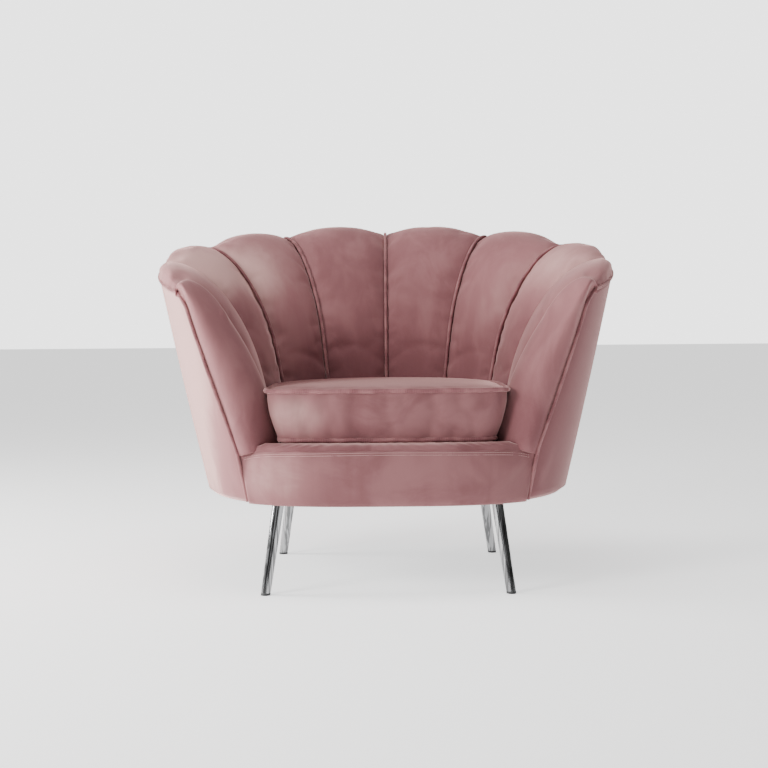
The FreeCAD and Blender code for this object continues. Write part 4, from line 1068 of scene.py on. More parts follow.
class MakeWelts(bpy.types.Operator):
    """Cords sewn into the channel seams, round the top edge and down both arm fronts"""

    bl_idname = "armchair.welts"
    bl_label = "Welts"

    def execute(self, context):
        s = sizes()
        cords = []
        for number, (low, ridge) in enumerate(zip(SEAM_LOW, SEAM_RIDGE)):
            v = np.linspace(0.0, 1.0, 150)
            line = np.array([face_row(np.array([low]), np.array([ridge]), np.zeros(1), t)[0] for t in v])
            foot = s.border_top + 0.002 if number == 4 else CORD_FOOT
            line = line[line[:, 2] >= foot]
            inward = line[0] - line[-1]
            inward[2] = 0
            inward /= np.linalg.norm(inward)
            along = np.linspace(0, 1, len(line))[:, None]
            lift = np.array((0, 0, CORD_LIFT)) * along * (1 - along**10)
            line = line + inward * CORD_PROUD * (1 - along**8) + lift
            line = smooth_line(line[::3], 220)
            cords.append(line)
            if low:
                cords.append(line * (-1, 1, 1))
        parts = [cord_mesh(f"seam_welt_{k}", line, s.welt, welt_velvet()) for k, line in enumerate(cords)]
        welts = join(parts, "seam_welts")
        settle(welts, "chair", "velvet_cord", "channel_welts")
        angle, corner = top_corner()
        turn = np.linspace(-angle, angle, 181)
        top = outer_point(turn, edge_height(np.abs(turn)) + 0.0005)
        low = s.base_bottom + 0.004
        fronts = []
        for sign in SIDES.values():
            line = arm_front(np.linspace(low, corner - 0.001, 60)) + (0.0012, -0.0034, 0.0)
            fronts.append(line * (sign, 1, 1))
        # one cord runs up one arm front, round the top edge and down the other
        left, right = fronts
        path = np.concatenate([left[:-2], top[2:-2], right[:-2][::-1]])
        path = smooth_line(path[::2], 460)
        soften(path, 3)
        cord = cord_mesh("edge_cord", path, s.welt, welt_velvet())
        settle(cord, "chair", "velvet_cord", "edge_welt")
        return {"FINISHED"}


def join(parts, name):
    """Joins like pieces into one object."""
    bpy.ops.object.select_all(action="DESELECT")
    for obj in parts:
        obj.select_set(True)
    bpy.context.view_layer.objects.active = parts[0]
    bpy.ops.object.join()
    parts[0].name = name
    parts[0].data.name = name
    return parts[0]


# half lengths of the border's bow and of the stitched seam over it
BOW_HALF, SEAM_HALF = 0.300, 0.306
STITCH_PITCH = 0.0052


def border_bow(x):
    s = sizes()
    return s.front_y + s.front_bow * np.abs(np.asarray(x) / BOW_HALF) ** 3.4


def border_end(z):
    """Half width of the border at a height, up to the arm front's welt."""
    z = np.asarray(z, float)
    s = sizes()
    y = s.arm_front_y + s.arm_rake * np.abs(z - s.border_top)
    half, _, front = reach(z, 0.0014)
    return half * np.sqrt(1 - ((y - s.plan_centre_y) / front) ** 2)


def seam_height(t):
    """Height of the stitched seam along the border; t runs from -1 to 1."""
    t = np.abs(t)
    return sizes().border_top - 0.006 * t**2 - 0.010 * t**12


class MakeBorder(bpy.types.Operator):
    """Padded front border, the lip over it, and the double row of stitches along their seam"""

    bl_idname = "armchair.border"
    bl_label = "Front border"

    def execute(self, context):
        s = sizes()
        columns = 121
        t = np.linspace(-1, 1, columns)
        # border: (distance behind the bow, height share); shares run from the underside to the seam
        outline = [
            *((0.018, 0.0), (0.012, 0.0), (0.0085, 0.012), (0.0060, 0.035), (0.0040, 0.08)),
            *((0.0020, 0.18), (0.0008, 0.32), (0.0, 0.48), (-0.0006, 0.64), (-0.0006, 0.78)),
            *((0.0004, 0.89), (0.0018, 0.95), (0.0042, 0.985), (0.0075, 1.0), (0.0125, 1.0)),
        ]
        face = []
        for behind, share in outline:
            top = seam_height(t)
            z = s.base_bottom + (top - s.base_bottom) * share
            x = t * border_end(z)
            tight = 0.0012 * np.sin(t * 26 + 1.2) * np.exp(-((share - 0.9) / 0.14) ** 2)
            # the ends stay flush with the arm front's cord instead of rolling back
            ends = np.clip((np.abs(t) - 0.95) / 0.04, 0, 1)
            back_off = behind + (min(behind, 0.0004) - behind) * ends * (share > 0.05)
            y = border_bow(x) + back_off + tight * (1 - ends)
            y = y + (np.minimum(y, arm_front(z)[:, 1] - 0.001) - y) * eased((np.abs(t) - 0.86) / 0.13)
            face.append(np.stack([x, y, z], -1))
        face = np.array(face)
        fine = np.stack([smooth_line(face[:, c], 40) for c in range(columns)], 1)
        back = fine.copy()
        back[..., 1] = border_bow(fine[..., 0]) + s.skin + 0.012
        back[..., 2] = s.base_bottom + 0.001 + (fine[..., 2] - s.base_bottom) * 0.985
        # Painted shade: the border's velvet is a darker copy of the same cloth, with painted highlights put on it.
        cover = velvet("border_velvet", 0.84, (0.8, 1.0, 1.2), BORDER_PAINTED_LIGHT)
        add_pad("border_padding", fine, back, cover, "front_border", 0.9)
        # lip: rises from the seam and rolls back under the cushion
        half = s.base_half_width - s.side_depth + 0.016
        t_lip = np.linspace(-1, 1, columns)
        lip = []
        rises = (0.0, 0.004, 0.008, 0.0108, 0.012, 0.012, 0.010, 0.005, 0.0)
        for share, rise in zip((0.0, 0.03, 0.09, 0.20, 0.38, 0.60, 0.82, 0.95, 1.0), rises):
            end = SEAM_HALF + (half - SEAM_HALF) * min(1.0, share * 4.0)
            x = t_lip * end
            front = border_bow(x) + 0.0045
            y = front + (s.lip_back - front) * share
            seam = seam_height(x / SEAM_HALF) + 0.0008
            level = seam + (s.border_top + 0.0005 - seam) * min(1.0, share * 3)
            lip.append(np.stack([x, y, level + rise - 0.0012], -1))
        lip = np.array(lip)
        lip = np.stack([smooth_line(lip[:, c], 26) for c in range(columns)], 1)
        wrinkle = 0.0007 * np.sin(t_lip * 60 + 2 * np.sin(t_lip * 9))[None, :] * np.linspace(1, 0, 26)[:, None]
        lip[..., 2] += wrinkle
        under = lip.copy()
        under[..., 2] = np.minimum(lip[..., 2] - 0.0015, seam_height(np.clip(lip[..., 0] / SEAM_HALF, -1, 1)))
        under[..., 1] = lip[..., 1] * 0.98 + (s.lip_back - 0.01) * 0.02
        # Painted shade: the lip's velvet is a darker copy of the same cloth, with painted shade at its back under the
        # cushion.
        add_pad("lip_padding", lip, under, velvet("lip_velvet", 0.9, painted_light_at=LIP_PAINTED_SHADE), "front_lip", 0.7)
        self.stitches()
        return {"FINISHED"}

    def stitches(self):
        """Two rows of short stitches under the seam, each one modelled once and copied."""
        bpy.ops.object.select_all(action="DESELECT")
        bpy.ops.mesh.primitive_cylinder_add(vertices=6, radius=0.00042, depth=0.0038, rotation=(0, math.pi / 2, 0))
        pattern = bpy.context.object
        bpy.ops.object.transform_apply(location=True, rotation=True, scale=True)
        select_ends(pattern)
        with editing(None):
            bpy.ops.mesh.select_mode(type="FACE")
            bpy.ops.mesh.extrude_region_move(TRANSFORM_OT_translate={"value": (0, 0, 0)})
            bpy.ops.transform.resize(value=(1.12, 0.45, 0.45))
        shape, shape_faces = take_shape(pattern)
        points, faces = [], []
        x, step = -BOW_HALF, 0.002
        while x < BOW_HALF:
            for drop in (0.0052, 0.0098):
                here, there = float(seam_height(x / SEAM_HALF)), float(seam_height((x + step) / SEAM_HALF))
                ahead = np.array((step, float(border_bow(x + step) - border_bow(x)), there - here))
                ahead /= np.linalg.norm(ahead)
                side = np.cross((0, 0, 1.0), ahead)
                side /= np.linalg.norm(side)
                axes = np.stack([ahead, side, np.cross(ahead, side)])
                behind = float(np.interp(drop, (0.0, 0.006, 0.013, 0.03), (0.0042, 0.0018, 0.0004, -0.0006)))
                centre = np.array((x, float(border_bow(x)) + behind - 0.0010, here - drop))
                add_copy(points, faces, shape @ axes + centre, shape_faces)
            x += STITCH_PITCH
        obj = add_mesh("border_stitches", points, faces, sewing_thread())
        settle(obj, "chair", "velvet_cord")


# ---------------------------------------------------------------- seat


def closed_ring(points, count):
    """Evenly spaced points round a closed line."""
    p = np.concatenate([points, points[:1]])
    run = np.concatenate([[0.0], np.cumsum(np.linalg.norm(np.diff(p, axis=0), axis=1))])
    wanted = np.linspace(0, run[-1], count, endpoint=False)
    return np.stack([np.interp(wanted, run, p[:, k]) for k in range(p.shape[1])], -1)


def cushion_ring(inset, count=144):
    """Level outline of the cushion, starting at the middle of its back."""
    c = bpy.context.scene.chair_cushion
    radius, half, front = c.back_radius - inset, c.front_half - inset, c.front_y + 0.15 * inset
    turn = np.linspace(0, math.pi / 2, 60)
    right = [np.stack([radius * np.sin(turn), c.centre_y + radius * np.cos(turn)], -1)]
    side = np.linspace(0, 1, 30)[1:-1, None]
    right.append(np.array((radius, c.centre_y)) * (1 - side) + np.array((half, front + c.corner)) * side)
    turn = np.linspace(0, math.pi / 2, 24)
    corner_y = front + 0.002 + (c.corner - 0.002) * (1 - np.sin(turn))
    right.append(np.stack([half - c.corner + c.corner * np.cos(turn), corner_y], -1))
    x = np.linspace(half - c.corner, 0, 40)[1:]
    right.append(np.stack([x, front + 0.002 - 0.009 * (1 - (x / (half - c.corner)) ** 2)], -1))
    right = np.concatenate(right)
    left = right[1:-1][::-1] * (-1, 1)
    return closed_ring(np.concatenate([right, left]), count)


def ringed_mesh(rings):
    """Points and faces of a closed form from stacked rings, with a fan at each end."""
    count = len(rings[0])
    points = np.concatenate(rings)
    faces = []
    for k in range(len(rings) - 1):
        for j in range(count):
            m = (j + 1) % count
            faces.append((k * count + j, k * count + m, (k + 1) * count + m, (k + 1) * count + j))
    first, last = rings[0].mean(0), rings[-1].mean(0)
    points = np.concatenate([points, [first, last]])
    tip, end = len(points) - 2, (len(rings) - 1) * count
    for j in range(count):
        m = (j + 1) % count
        faces.append((tip, m, j))
        faces.append((end + j, end + m, len(points) - 1))
    return points, faces


def shrink_to_middle(ring, share, middle):
    return middle + (ring - middle) * (1 - share)


class MakeCushion(bpy.types.Operator):
    """Loose boxed cushion with a crowned top, and the welts sewn round its two edges"""

    bl_idname = "armchair.cushion"
    bl_label = "Seat cushion"

    def execute(self, context):
        c = context.scene.chair_cushion
        count = 144
        middle = np.array((0.0, c.centre_y - 0.01))
        rings, sewn = [], []

        def level(flat, z):
            rings.append(np.column_stack([flat, np.broadcast_to(z, len(flat))]))

        bottom, top = cushion_ring(c.taper, count), cushion_ring(0.0, count)
        for share in (0.93, 0.8, 0.65, 0.5, 0.36, 0.24, 0.14, 0.07):
            sewn.append(len(rings))
            level(shrink_to_middle(bottom, share, middle), c.bottom + 0.0012)
        for share in (0.03, 0.008):
            sewn.append(len(rings))
            level(shrink_to_middle(bottom, share, middle), c.bottom + 0.0018)
        rows = 17
        place = np.arange(count) * 2 * math.pi / count
        around = np.arctan2(top[:, 0], top[:, 1] - c.centre_y)
        zipped = eased(1 - (np.degrees(np.abs(around)) - 36) / 10)
        for k in range(rows):
            t = 0.5 - 0.5 * math.cos(math.pi * k / (rows - 1))
            flat = bottom * (1 - t) + top * t
            along = np.roll(flat, -1, 0) - np.roll(flat, 1, 0)
            outward = np.stack([-along[:, 1], along[:, 0]], -1)
            outward /= np.linalg.norm(outward, axis=1, keepdims=True)
            outward *= np.sign(np.sum(outward * (flat - middle), 1))[:, None]
            bulge = 0.0050 * math.sin(math.pi * t) ** 0.6
            dip = -0.0014 * (math.exp(-((t * 9) ** 2)) + math.exp(-(((1 - t) * 9) ** 2)))
            crease = 0.0010 * np.sin(place * 23 + 3 * np.sin(place * 5))
            crease = crease * (math.exp(-((t * 4) ** 2)) + math.exp(-(((1 - t) * 4) ** 2)))
            push = (bulge + crease) * (1 - zipped) + dip * (1 - 0.6 * zipped)
            z = c.bottom + (c.edge - c.bottom) * t
            if k in (0, rows - 1):
                sewn.append(len(rings))
            level(flat + outward * push[:, None], z)
        for share in (0.010, 0.03, 0.065, 0.11, 0.17, 0.24, 0.32, 0.41, 0.51, 0.62, 0.73, 0.84, 0.93):
            rise = c.crown * (1 - (1 - share) ** 3.2) - 0.0018 * math.exp(-((share / 0.012) ** 2))
            level(shrink_to_middle(top, share, middle), c.edge + rise)
        points, faces = ringed_mesh(rings)
        # Painted shade and light: the cushion's velvet is a darker copy of the same cloth, with painted highlights on
        # its front and top.
        cover = velvet("cushion_velvet", 0.84, (1.0, 1.0, 1.1), CUSHION_PAINTED_LIGHT)
        obj = add_mesh("cushion_padding", points, faces, cover)
        held = [k * count + j for k in sewn for j in range(count)] + [len(points) - 2]
        wall = range(10, 10 + rows)
        held += [k * count + j for k in wall for j in range(count) if zipped[j] > 0.3]
        hold(obj, set(held), c.swell)
        settle(obj, "cushion", "velvet", "seat_cushion")
        cords = []
        for name, inset, z in (("top", 0.0, c.edge), ("bottom", c.taper, c.bottom + 0.004)):
            ring = cushion_ring(inset - 0.0022, 300)
            wander = 0.0005 * np.sin(np.arange(300) * 2 * math.pi * 17 / 300)
            line = np.column_stack([ring, z + wander])
            cords.append(cord_mesh(f"cushion_cord_{name}", line, c.welt, welt_velvet(), closed=True))
        cord = join(cords, "cushion_cords")
        settle(cord, "cushion", "velvet_cord", "cushion_welt")
        return {"FINISHED"}


def zip_wall(z):
    c = bpy.context.scene.chair_cushion
    return c.back_radius - (c.edge - z) * c.taper / (c.edge - c.bottom)


ZIP_MIDDLE, ZIP_HALF_ARC, ZIP_HALF_WIDTH = 0.367, math.radians(36), 0.013


class MakeZip(bpy.types.Operator):
    """Zip tape and its teeth along the cushion's back, and the slider with its pull tab"""

    bl_idname = "armchair.zip"
    bl_label = "Zip"

    def execute(self, context):
        self.tape()
        self.teeth()
        self.slider()
        return {"FINISHED"}

    def tape(self):
        c = bpy.context.scene.chair_cushion
        centre = (0.0, c.centre_y, 0.0)
        low, high = ZIP_MIDDLE - ZIP_HALF_WIDTH, ZIP_MIDDLE + ZIP_HALF_WIDTH
        corners = (low, 0.0002), (high, 0.0002), (high, 0.0008), (low, 0.0008)
        section = [(zip_wall(z) + off, z) for z, off in corners]
        tape = block((0, 0, 0), (0.1, 0.1, 0.1))
        with editing():
            bpy.ops.mesh.delete(type="VERT")
        turn = math.pi / 2 - ZIP_HALF_ARC
        start = [(r * math.cos(turn), c.centre_y + r * math.sin(turn), z) for r, z in section]
        tape.data.from_pydata(start, [], [(0, 1, 2, 3)])
        with editing():
            bpy.ops.mesh.spin(steps=72, dupli=False, angle=2 * ZIP_HALF_ARC, center=centre, axis=(0, 0, 1))
            bpy.ops.mesh.select_all(action="SELECT")
            bpy.ops.mesh.remove_doubles(threshold=0.00001)
        self.close(tape)
        tape.name = tape.data.name = "zip_tape_band"
        tape.data.materials.append(woven("zip_weave", (0.16, 0.075, 0.08), 900.0, 0.8))
        settle(tape, "cushion", "zip_tape", "zip_chain")

    def close(self, obj):
        """Caps open ends and turns the faces outwards."""
        work = bmesh.new()
        work.from_mesh(obj.data)
        open_edges = [e for e in work.edges if e.is_boundary]
        if open_edges:
            bmesh.ops.holes_fill(work, edges=open_edges)
        bmesh.ops.recalc_face_normals(work, faces=work.faces)
        work.to_mesh(obj.data)
        work.free()

    def teeth(self):
        c = bpy.context.scene.chair_cushion
        block((0, 0, 0), (0.0014, 0.0009, 0.0026))
        bevel(0.0002, 1)
        shape, shape_faces = take_shape(bpy.context.object)
        points, faces = [], []
        count = 146
        for k in range(count):
            turn = math.pi / 2 - ZIP_HALF_ARC + 2 * ZIP_HALF_ARC * (k + 0.5) / count
            z = ZIP_MIDDLE + (0.0011 if k % 2 else -0.0011)
            r = zip_wall(z) + 0.0012
            si, co = math.sin(turn), math.cos(turn)
            axes = np.array([(co, si, 0), (-si, co, 0), (0, 0, 1)])
            centre = np.array((r * co, c.centre_y + r * si, z))
            add_copy(points, faces, shape @ axes + centre, shape_faces)
        metal = zinc_steel("zip_teeth_metal", (0.55, 0.50, 0.42), 0.3)
        obj = add_mesh("zip_teeth", points, faces, metal, smooth=False)
        settle(obj, "cushion", "zip_metal")

    def slider(self):
        c = bpy.context.scene.chair_cushion
        angle = math.pi / 2 - ZIP_HALF_ARC + math.radians(2.7)
        r = zip_wall(ZIP_MIDDLE) + 0.0021
        # shaped lying flat: x outwards, y along the zip, z up; then turned to its place on the arc
        body = block((0.0013, 0, 0), (0.0026, 0.0138, 0.0100))
        with editing():
            bpy.ops.mesh.subdivide(number_cuts=1)
        for v in body.data.vertices:
            if v.co.y < -0.004:
                v.co.z *= 0.62
        bevel(0.0005, 2)
        bridge = block((0.0029, 0, 0), (0.0012, 0.0060, 0.0018))
        bevel(0.0004, 2)
        tab = block((0.0030, 0, -0.0160), (0.0011, 0.0058, 0.0260))
        select_ends(tab)
        with editing(None):
            bpy.ops.mesh.select_mode(type="FACE")
            bpy.ops.mesh.inset(thickness=0.0012, depth=-0.00025)
        bevel(0.00018, 1)
        whole = join([body, bridge, tab], "zip_pull")
        place = Matrix.Translation((r * math.cos(angle), c.centre_y + r * math.sin(angle), ZIP_MIDDLE))
        whole.data.transform(place @ Matrix.Rotation(angle, 4, "Z"))
        self.close(whole)
        whole.data.materials.clear()
        whole.data.materials.append(zinc_steel("zip_slider_metal", (0.50, 0.46, 0.40), 0.25))
        pick(whole)
        bpy.ops.object.shade_smooth_by_angle(angle=math.radians(35))
        settle(whole, "zip", "zip_metal", "zip_slider")


def inner_plan(z, inset, start_y, count):
    """Level outline inside the shell, closed across its front."""
    s = sizes()
    half, back, _ = reach(z)
    end = math.degrees(math.acos((start_y - s.plan_centre_y) / (s.inner_front_reach - inset)))
    angle = np.linspace(-end, end, 200)
    si, co = np.sin(radians(angle)), np.cos(radians(angle))
    depth = np.where(co >= 0, back - s.back_depth, s.inner_front_reach) - inset
    flat = np.stack([(half - s.side_depth - inset) * si, s.plan_centre_y + depth * co], -1)
    across = np.linspace(flat[-1], flat[0], 60)[1:-1]
    return closed_ring(np.concatenate([flat, across]), count)


class MakeDeck(bpy.types.Operator):
    """Felt deck pad over the springs, under the loose cushion"""

    bl_idname = "armchair.deck"
    bl_label = "Deck pad"

    def execute(self, context):
        s = sizes()
        count = 160
        top = s.border_top + 0.0095
        low = s.foam_bottom
        outline = inner_plan(low, s.lobe_low + 0.0035, s.lip_back + 0.002, count)
        middle = outline.mean(0)
        rings = []
        for share in (0.9, 0.5, 0.2, 0.02):
            rings.append(np.column_stack([shrink_to_middle(outline, share, middle), np.full(count, low)]))
        wall = (0.0, low + 0.002), (0.0, low + 0.007), (0.003, top - 0.004), (0.010, top - 0.0012)
        for share, z in (*wall, (0.022, top - 0.0002)):
            rings.append(np.column_stack([shrink_to_middle(outline, share, middle), np.full(count, z)]))
        for share in (0.06, 0.12, 0.2, 0.3, 0.42, 0.55, 0.7, 0.85):
            flat = shrink_to_middle(outline, share, middle)
            ring = np.column_stack([flat, np.full(count, top)])
            ring[:, 2] -= 0.0016 * (0.5 + 0.5 * ripple(ring, 9.0, 2))
            rings.append(ring)
        points, faces = ringed_mesh(rings)
        obj = add_mesh("deck_padding", points, faces, woven("deck_cloth", (0.055, 0.03, 0.032), 520.0))
        settle(obj, "chair", "deck_felt", "seat_deck")
        return {"FINISHED"}


# side of the square window in the dust cover round each leg plate
WINDOW = 0.070
# a staple's crown: corners in shares of its half length, half width and height
STAPLE_CORNERS = [(u, v, 0) for u, v in ((-1, -1), (1, -1), (1, 1), (-1, 1))]
STAPLE_CORNERS += [(0.94 * u, 0.7 * v, -1) for u, v in ((-1, -1), (1, -1), (1, 1), (-1, 1))]
STAPLE_FACES = [(0, 1, 2, 3), (4, 7, 6, 5), (0, 4, 5, 1), (1, 5, 6, 2), (2, 6, 7, 3), (3, 7, 4, 0)]


class MakeDustCover(bpy.types.Operator):
    """Black cloth stapled to the underside, with its hem turned in and cut round the leg plates"""

    bl_idname = "armchair.dust_cover"
    bl_label = "Dust cover"

    def execute(self, context):
        s = sizes()
        count = 200
        z = s.base_bottom + 0.0076
        # round the sides and back, then along behind the border's bow
        angle = np.linspace(-134, 134, 160)
        curve = outer_point(angle, z, s.skin + 0.004)[:, :2]
        x = np.linspace(curve[-1, 0], curve[0, 0], 82)[1:-1]
        across = np.stack([x, border_bow(x) + 0.0215], -1)
        outline = closed_ring(np.concatenate([curve, across]), count)
        middle = np.array((0.0, s.plan_centre_y))
        shares = (0.0, 0.02, 0.05, 0.09, 0.14, 0.2, 0.28, 0.37, 0.47, 0.58, 0.7, 0.82, 0.93)
        rings = []
        for share in shares:
            flat = shrink_to_middle(outline, share, middle)
            ring = np.column_stack([flat, np.full(count, z)])
            sag = 0.0045 * min(1.0, share / 0.6) ** 1.4
            ring[:, 2] -= sag + 0.0009 * (1 + ripple(ring, 14.0, 4)) * min(1.0, share * 6)
            rings.append(ring)
        thick = 0.0006
        above = [ring + (0, 0, thick) for ring in rings]
        points, faces = ringed_mesh(rings[::-1] + above)
        cloth = add_mesh("dust_cloth", points, faces, spunbonded())
        self.windows(cloth)
        settle(cloth, "chair", "dust_cloth", "dust_cover")
        hem = []
        for share, level in ((0.030, -0.0002), (0.0, -0.0002), (0.0, -0.0009), (0.030, -0.0009)):
            hem.append(np.column_stack([shrink_to_middle(outline, share, middle), np.full(count, z + level)]))
        hem_faces = []
        for k in range(4):
            n = (k + 1) % 4
            for j in range(count):
                m = (j + 1) % count
                hem_faces.append((k * count + j, k * count + m, n * count + m, n * count + j))
        band = add_mesh("dust_hem", np.concatenate(hem), hem_faces, spunbonded())
        settle(band, "chair", "dust_cloth")
        staples = self.staples(outline, middle, z - 0.0009)
        return {"FINISHED"}

    def windows(self, cloth):
        """Cuts the cloth round the four leg plates."""
        for corner in ("front_left", "front_right", "back_left", "back_right"):
            low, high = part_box(f"leg_plate_{corner}")
            bpy.ops.object.select_all(action="DESELECT")
            bpy.ops.mesh.primitive_cube_add(size=1.0, location=(Vector(low) + Vector(high)) / 2)
            cutter = bpy.context.object
            cutter.scale = (WINDOW, WINDOW, 0.04)
            modifier = cloth.modifiers.new("window", "BOOLEAN")
            modifier.operation, modifier.object, modifier.solver = "DIFFERENCE", cutter, "EXACT"
            bpy.context.view_layer.update()
            pick(cloth)
            bpy.ops.object.modifier_apply(modifier=modifier.name)
            bpy.data.objects.remove(cutter)

    def staples(self, outline, middle, z):
        """Flat wire staples along the hem."""
        line = closed_ring(shrink_to_middle(outline, 0.016, middle), 58)
        ahead = np.roll(line, -1, 0) - np.roll(line, 1, 0)
        points, faces = [], []
        for place, way in zip(line, ahead):
            way = way / np.linalg.norm(way)
            side = np.array((-way[1], way[0]))
            wire = []
            for u, v, w in STAPLE_CORNERS:
                flat = place + way * u * 0.0050 + side * v * 0.00045
                wire.append((flat[0], flat[1], z + 0.0001 + w * 0.0006))
            add_copy(points, faces, wire, STAPLE_FACES)
        wire_steel = zinc_steel("staple_wire", (0.55, 0.55, 0.56), 0.3)
        obj = add_mesh("dust_staples", points, faces, wire_steel, smooth=False)
        settle(obj, "chair", "screw_steel")
        return obj


# ---------------------------------------------------------------- filling, hard parts, stage


# cloth settings of a cover pressed outwards by its filling
FILLING = {
    "quality": 4,
    "mass": 0.4,
    "tension_stiffness": 22,
    "compression_stiffness": 22,
    "shear_stiffness": 8,
    "bending_stiffness": 0.4,
    "use_pressure": True,
    "uniform_pressure_force": 4.0,
    "vertex_group_mass": "sewn",
    "pin_stiffness": 1.0,
    "shrink_min": -0.025,
}


class SwellPadding(bpy.types.Operator):
    """Lets the fillings press the covers out between their seams, then smooths the covers"""

    bl_idname = "armchair.swell"
    bl_label = "Swell the padding"

    def execute(self, context):
        pads = [o for o in context.scene.objects if "give" in o]
        scene = context.scene
        for obj in pads:
            cloth = obj.modifiers.new("filling", "CLOTH")
            for name, value in FILLING.items():
                setattr(cloth.settings, name, value)
            cloth.settings.effector_weights.gravity = 0.0
            cloth.collision_settings.use_collision = False
            cloth.collision_settings.use_self_collision = False
            cloth.point_cache.frame_start = 1
            cloth.point_cache.frame_end = scene.chair_stage.simulation_frames
        for frame_number in range(1, scene.chair_stage.simulation_frames + 1):
            scene.frame_set(frame_number)
        graph = context.evaluated_depsgraph_get()
        for obj in pads:
            swollen = obj.evaluated_get(graph).to_mesh()
            count = len(obj.data.vertices)
            before, after = np.empty(count * 3), np.empty(count * 3)
            obj.data.vertices.foreach_get("co", before)
            swollen.vertices.foreach_get("co", after)
            move = (after - before).reshape(-1, 3)
            far = np.linalg.norm(move, axis=1, keepdims=True)
            give = obj["give"]
            capped = before.reshape(-1, 3) + move / np.maximum(far, 1e-9) * give * np.tanh(far / give)
            obj.evaluated_get(graph).to_mesh_clear()
            obj.modifiers.clear()
            obj.data.vertices.foreach_set("co", capped.ravel())
            obj.data.update()
        scene.frame_set(1)
        for obj in pads:
            obj.vertex_groups.clear()
            smoothing = obj.modifiers.new("smooth_cover", "SUBSURF")
            smoothing.levels = smoothing.render_levels = 1
            pick(obj)
            bpy.ops.object.modifier_apply(modifier=smoothing.name)
            del obj["give"]
        return {"FINISHED"}


class FinishHardParts(bpy.types.Operator):
    """Gives the frame, springs, straps, legs and their fixings their finishes"""

    bl_idname = "armchair.hard_parts"
    bl_label = "Frame, legs and fixings"

    def execute(self, context):
        beech, ply = planed_beech(), raw_plywood()
        spring = zinc_steel("spring_wire", (0.30, 0.31, 0.33), 0.35)
        screw = zinc_steel("screw_zinc", (0.62, 0.60, 0.52), 0.28)
        finishes = [
            (("front_rail", "back_rail", "side_rail", "corner_blocks"), beech),
            (("rib_", "arm_stile", "top_hoop"), ply),
            (("webbing",), woven("jute_webbing", (0.36, 0.27, 0.16), 330.0)),
            (("seat_spring",), spring),
            (("spring_clips", "leg_screws"), screw),
            (("leg_plate",), coated_steel()),
            (("leg_front", "leg_back"), polished_chrome()),
            (("foot_glide",), moulded_plastic("glide_nylon", (0.03, 0.03, 0.032))),
        ]
        for name in frame["nodes"]:
            obj = bpy.data.objects.get(name)
            if obj is None:
                raise RuntimeError(f"{name} is missing from the frame")
            for starts, material in finishes:
                if name.startswith(starts):
                    if not obj.material_slots:
                        obj.data.materials.append(material)
                    for place in obj.material_slots:
                        place.material = material
        return {"FINISHED"}


# brightness of the room across its width, from the lit side at the left to the dark one at the right
WALLS = [(0.0, 1.0), (0.10, 0.55), (0.16, 0.05), (0.30, 0.10), (0.36, 0.75)]
WALLS += [(0.50, 0.45), (0.58, 0.05), (0.70, 0.35), (0.80, 0.04), (1.0, 0.10)]


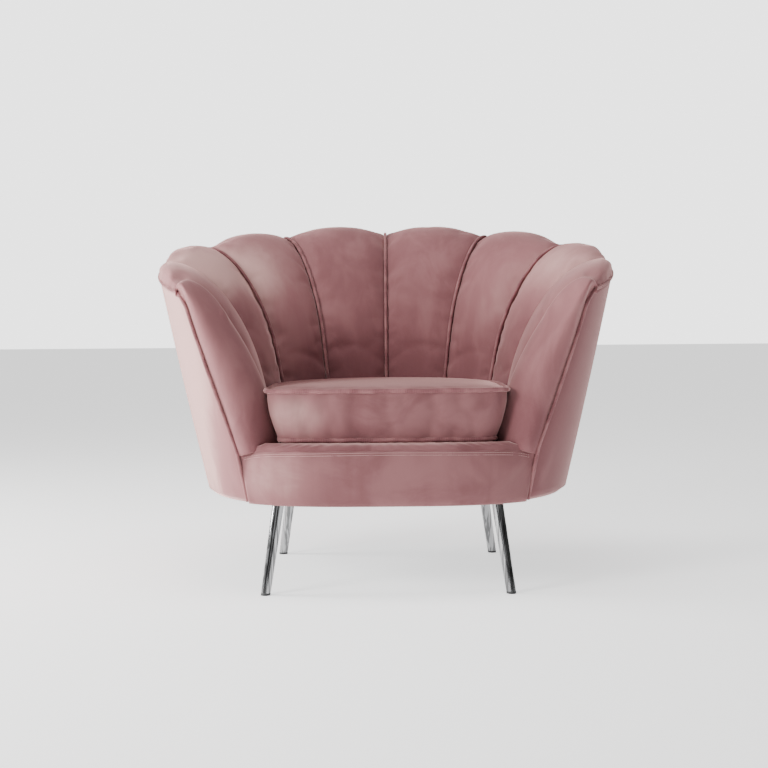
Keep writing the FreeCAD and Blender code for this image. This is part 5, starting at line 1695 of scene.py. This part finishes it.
class MakeStage(bpy.types.Operator):
    """Pale floor, soft lights and the camera"""

    bl_idname = "armchair.stage"
    bl_label = "Stage"

    def execute(self, context):
        stage = context.scene.chair_stage
        self.floor()
        self.lights(context, stage)
        self.room(context, stage)
        self.camera(context, stage)
        return {"FINISHED"}

    def floor(self):
        bpy.ops.object.select_all(action="DESELECT")
        bpy.ops.mesh.primitive_plane_add(size=1.0, location=(0, 0, 0))
        floor = bpy.context.object
        floor.name = "studio_floor"
        floor.scale = (60, 60, 1)
        bpy.ops.object.transform_apply(location=True, rotation=True, scale=True)
        with editing():
            bpy.ops.mesh.subdivide(number_cuts=6)
        floor.data.materials.append(plain_floor())

    def lights(self, context, stage):
        """Large soft lamps, all aimed at the middle of the chair."""
        for name, place, size, power, shade in (
            ("key_light", (-2.4, -2.1, 1.7), 1.2, stage.key, (1.0, 0.985, 0.965)),
            ("side_light", (-3.2, 0.1, 1.0), 1.2, stage.side, (1.0, 0.99, 0.98)),
            ("fill_light", (2.6, -2.4, 1.6), 1.8, stage.fill, (0.985, 0.99, 1.0)),
            ("top_light", (0.0, -0.2, 3.0), 1.6, stage.top, (1.0, 1.0, 1.0)),
        ):
            light = bpy.data.lights.new(name, "AREA")
            light.shape, light.size, light.energy, light.color = "DISK", size, power, shade
            lamp = bpy.data.objects.new(name, light)
            lamp.location = place
            aim = Vector((0, 0, 0.45)) - Vector(place)
            lamp.rotation_euler = aim.to_track_quat("-Z", "Y").to_euler()
            context.scene.collection.objects.link(lamp)

    def room(self, context, stage):
        """Walls of light and dark for the metal to mirror, and an even pale backdrop behind the chair."""
        world = bpy.data.worlds.new("soft_room")
        world.use_nodes = True
        nodes, links = world.node_tree.nodes, world.node_tree.links
        room, backdrop = nodes["Background"], nodes.new("ShaderNodeBackground")
        room.inputs["Strength"].default_value = stage.ambient
        backdrop.inputs["Color"].default_value = (1.0, 1.0, 1.0, 1.0)
        backdrop.inputs["Strength"].default_value = stage.backdrop
        way, split = nodes.new("ShaderNodeTexCoord"), nodes.new("ShaderNodeSeparateXYZ")
        across, walls = nodes.new("ShaderNodeMapRange"), nodes.new("ShaderNodeValToRGB")
        across.inputs["From Min"].default_value, across.inputs["From Max"].default_value = -1.0, 1.0
        ramp = walls.color_ramp
        while len(ramp.elements) < len(WALLS):
            ramp.elements.new(0.5)
        for element, (position, level) in zip(ramp.elements, WALLS):
            element.position, element.color = position, (level, level, level, 1.0)
        seen, mix = nodes.new("ShaderNodeLightPath"), nodes.new("ShaderNodeMixShader")
        for source, target in (
            (way.outputs["Generated"], split.inputs[0]),
            (split.outputs["X"], across.inputs["Value"]),
            (across.outputs[0], walls.inputs[0]),
            (walls.outputs[0], room.inputs["Color"]),
            (seen.outputs["Is Camera Ray"], mix.inputs[0]),
            (room.outputs[0], mix.inputs[1]),
            (backdrop.outputs[0], mix.inputs[2]),
            (mix.outputs[0], nodes["World Output"].inputs["Surface"]),
        ):
            links.new(source, target)
        context.scene.world = world

    def camera(self, context, stage):
        view = bpy.data.cameras.new("camera")
        view.lens, view.sensor_width = stage.lens, 36.0
        camera = bpy.data.objects.new("camera", view)
        turn = Euler((math.pi / 2 - stage.tilt, 0, 0)).to_matrix().to_4x4() @ Matrix.Rotation(stage.roll, 4, "Z")
        camera.matrix_world = Matrix.Translation(tuple(stage.camera)) @ turn
        context.scene.collection.objects.link(camera)
        context.scene.camera = camera


class ArmchairPanel(bpy.types.Panel):
    """Lists the pieces of the armchair and their sizes"""

    bl_idname = "VIEW3D_PT_shell_armchair"
    bl_label = "Shell armchair"
    bl_space_type = "VIEW_3D"
    bl_region_type = "UI"
    bl_category = "Armchair"

    def draw(self, context):
        for operator in OPERATORS:
            self.layout.operator(operator.bl_idname)
        for title, group in (
            ("Shell", context.scene.chair_shell),
            ("Cushion", context.scene.chair_cushion),
            ("Cloth and metal", context.scene.chair_look),
            ("Stage", context.scene.chair_stage),
        ):
            box = self.layout.box()
            box.label(text=title)
            for name in group.__annotations__:
                box.prop(group, name)


GROUPS = {
    "chair_shell": ShellSizes,
    "chair_cushion": CushionSizes,
    "chair_look": ClothLook,
    "chair_stage": StageSizes,
}
OPERATORS = [
    MakeStage,
    MakeChannels,
    MakeArmPads,
    MakeOutside,
    MakeWelts,
    MakeBorder,
    MakeCushion,
    MakeZip,
    MakeDeck,
    MakeDustCover,
    SwellPadding,
    FinishHardParts,
]


def register():
    for group in GROUPS.values():
        bpy.utils.register_class(group)
    for name, group in GROUPS.items():
        setattr(bpy.types.Scene, name, PointerProperty(type=group))
    for operator in OPERATORS:
        bpy.utils.register_class(operator)
    bpy.utils.register_class(ArmchairPanel)


def unregister():
    bpy.utils.unregister_class(ArmchairPanel)
    for operator in reversed(OPERATORS):
        bpy.utils.unregister_class(operator)
    for name, group in GROUPS.items():
        delattr(bpy.types.Scene, name)
        bpy.utils.unregister_class(group)


def main():
    register()
    for operator in OPERATORS:
        group, name = operator.bl_idname.split(".")
        getattr(getattr(bpy.ops, group), name)()


if __name__ == "__main__":
    main()
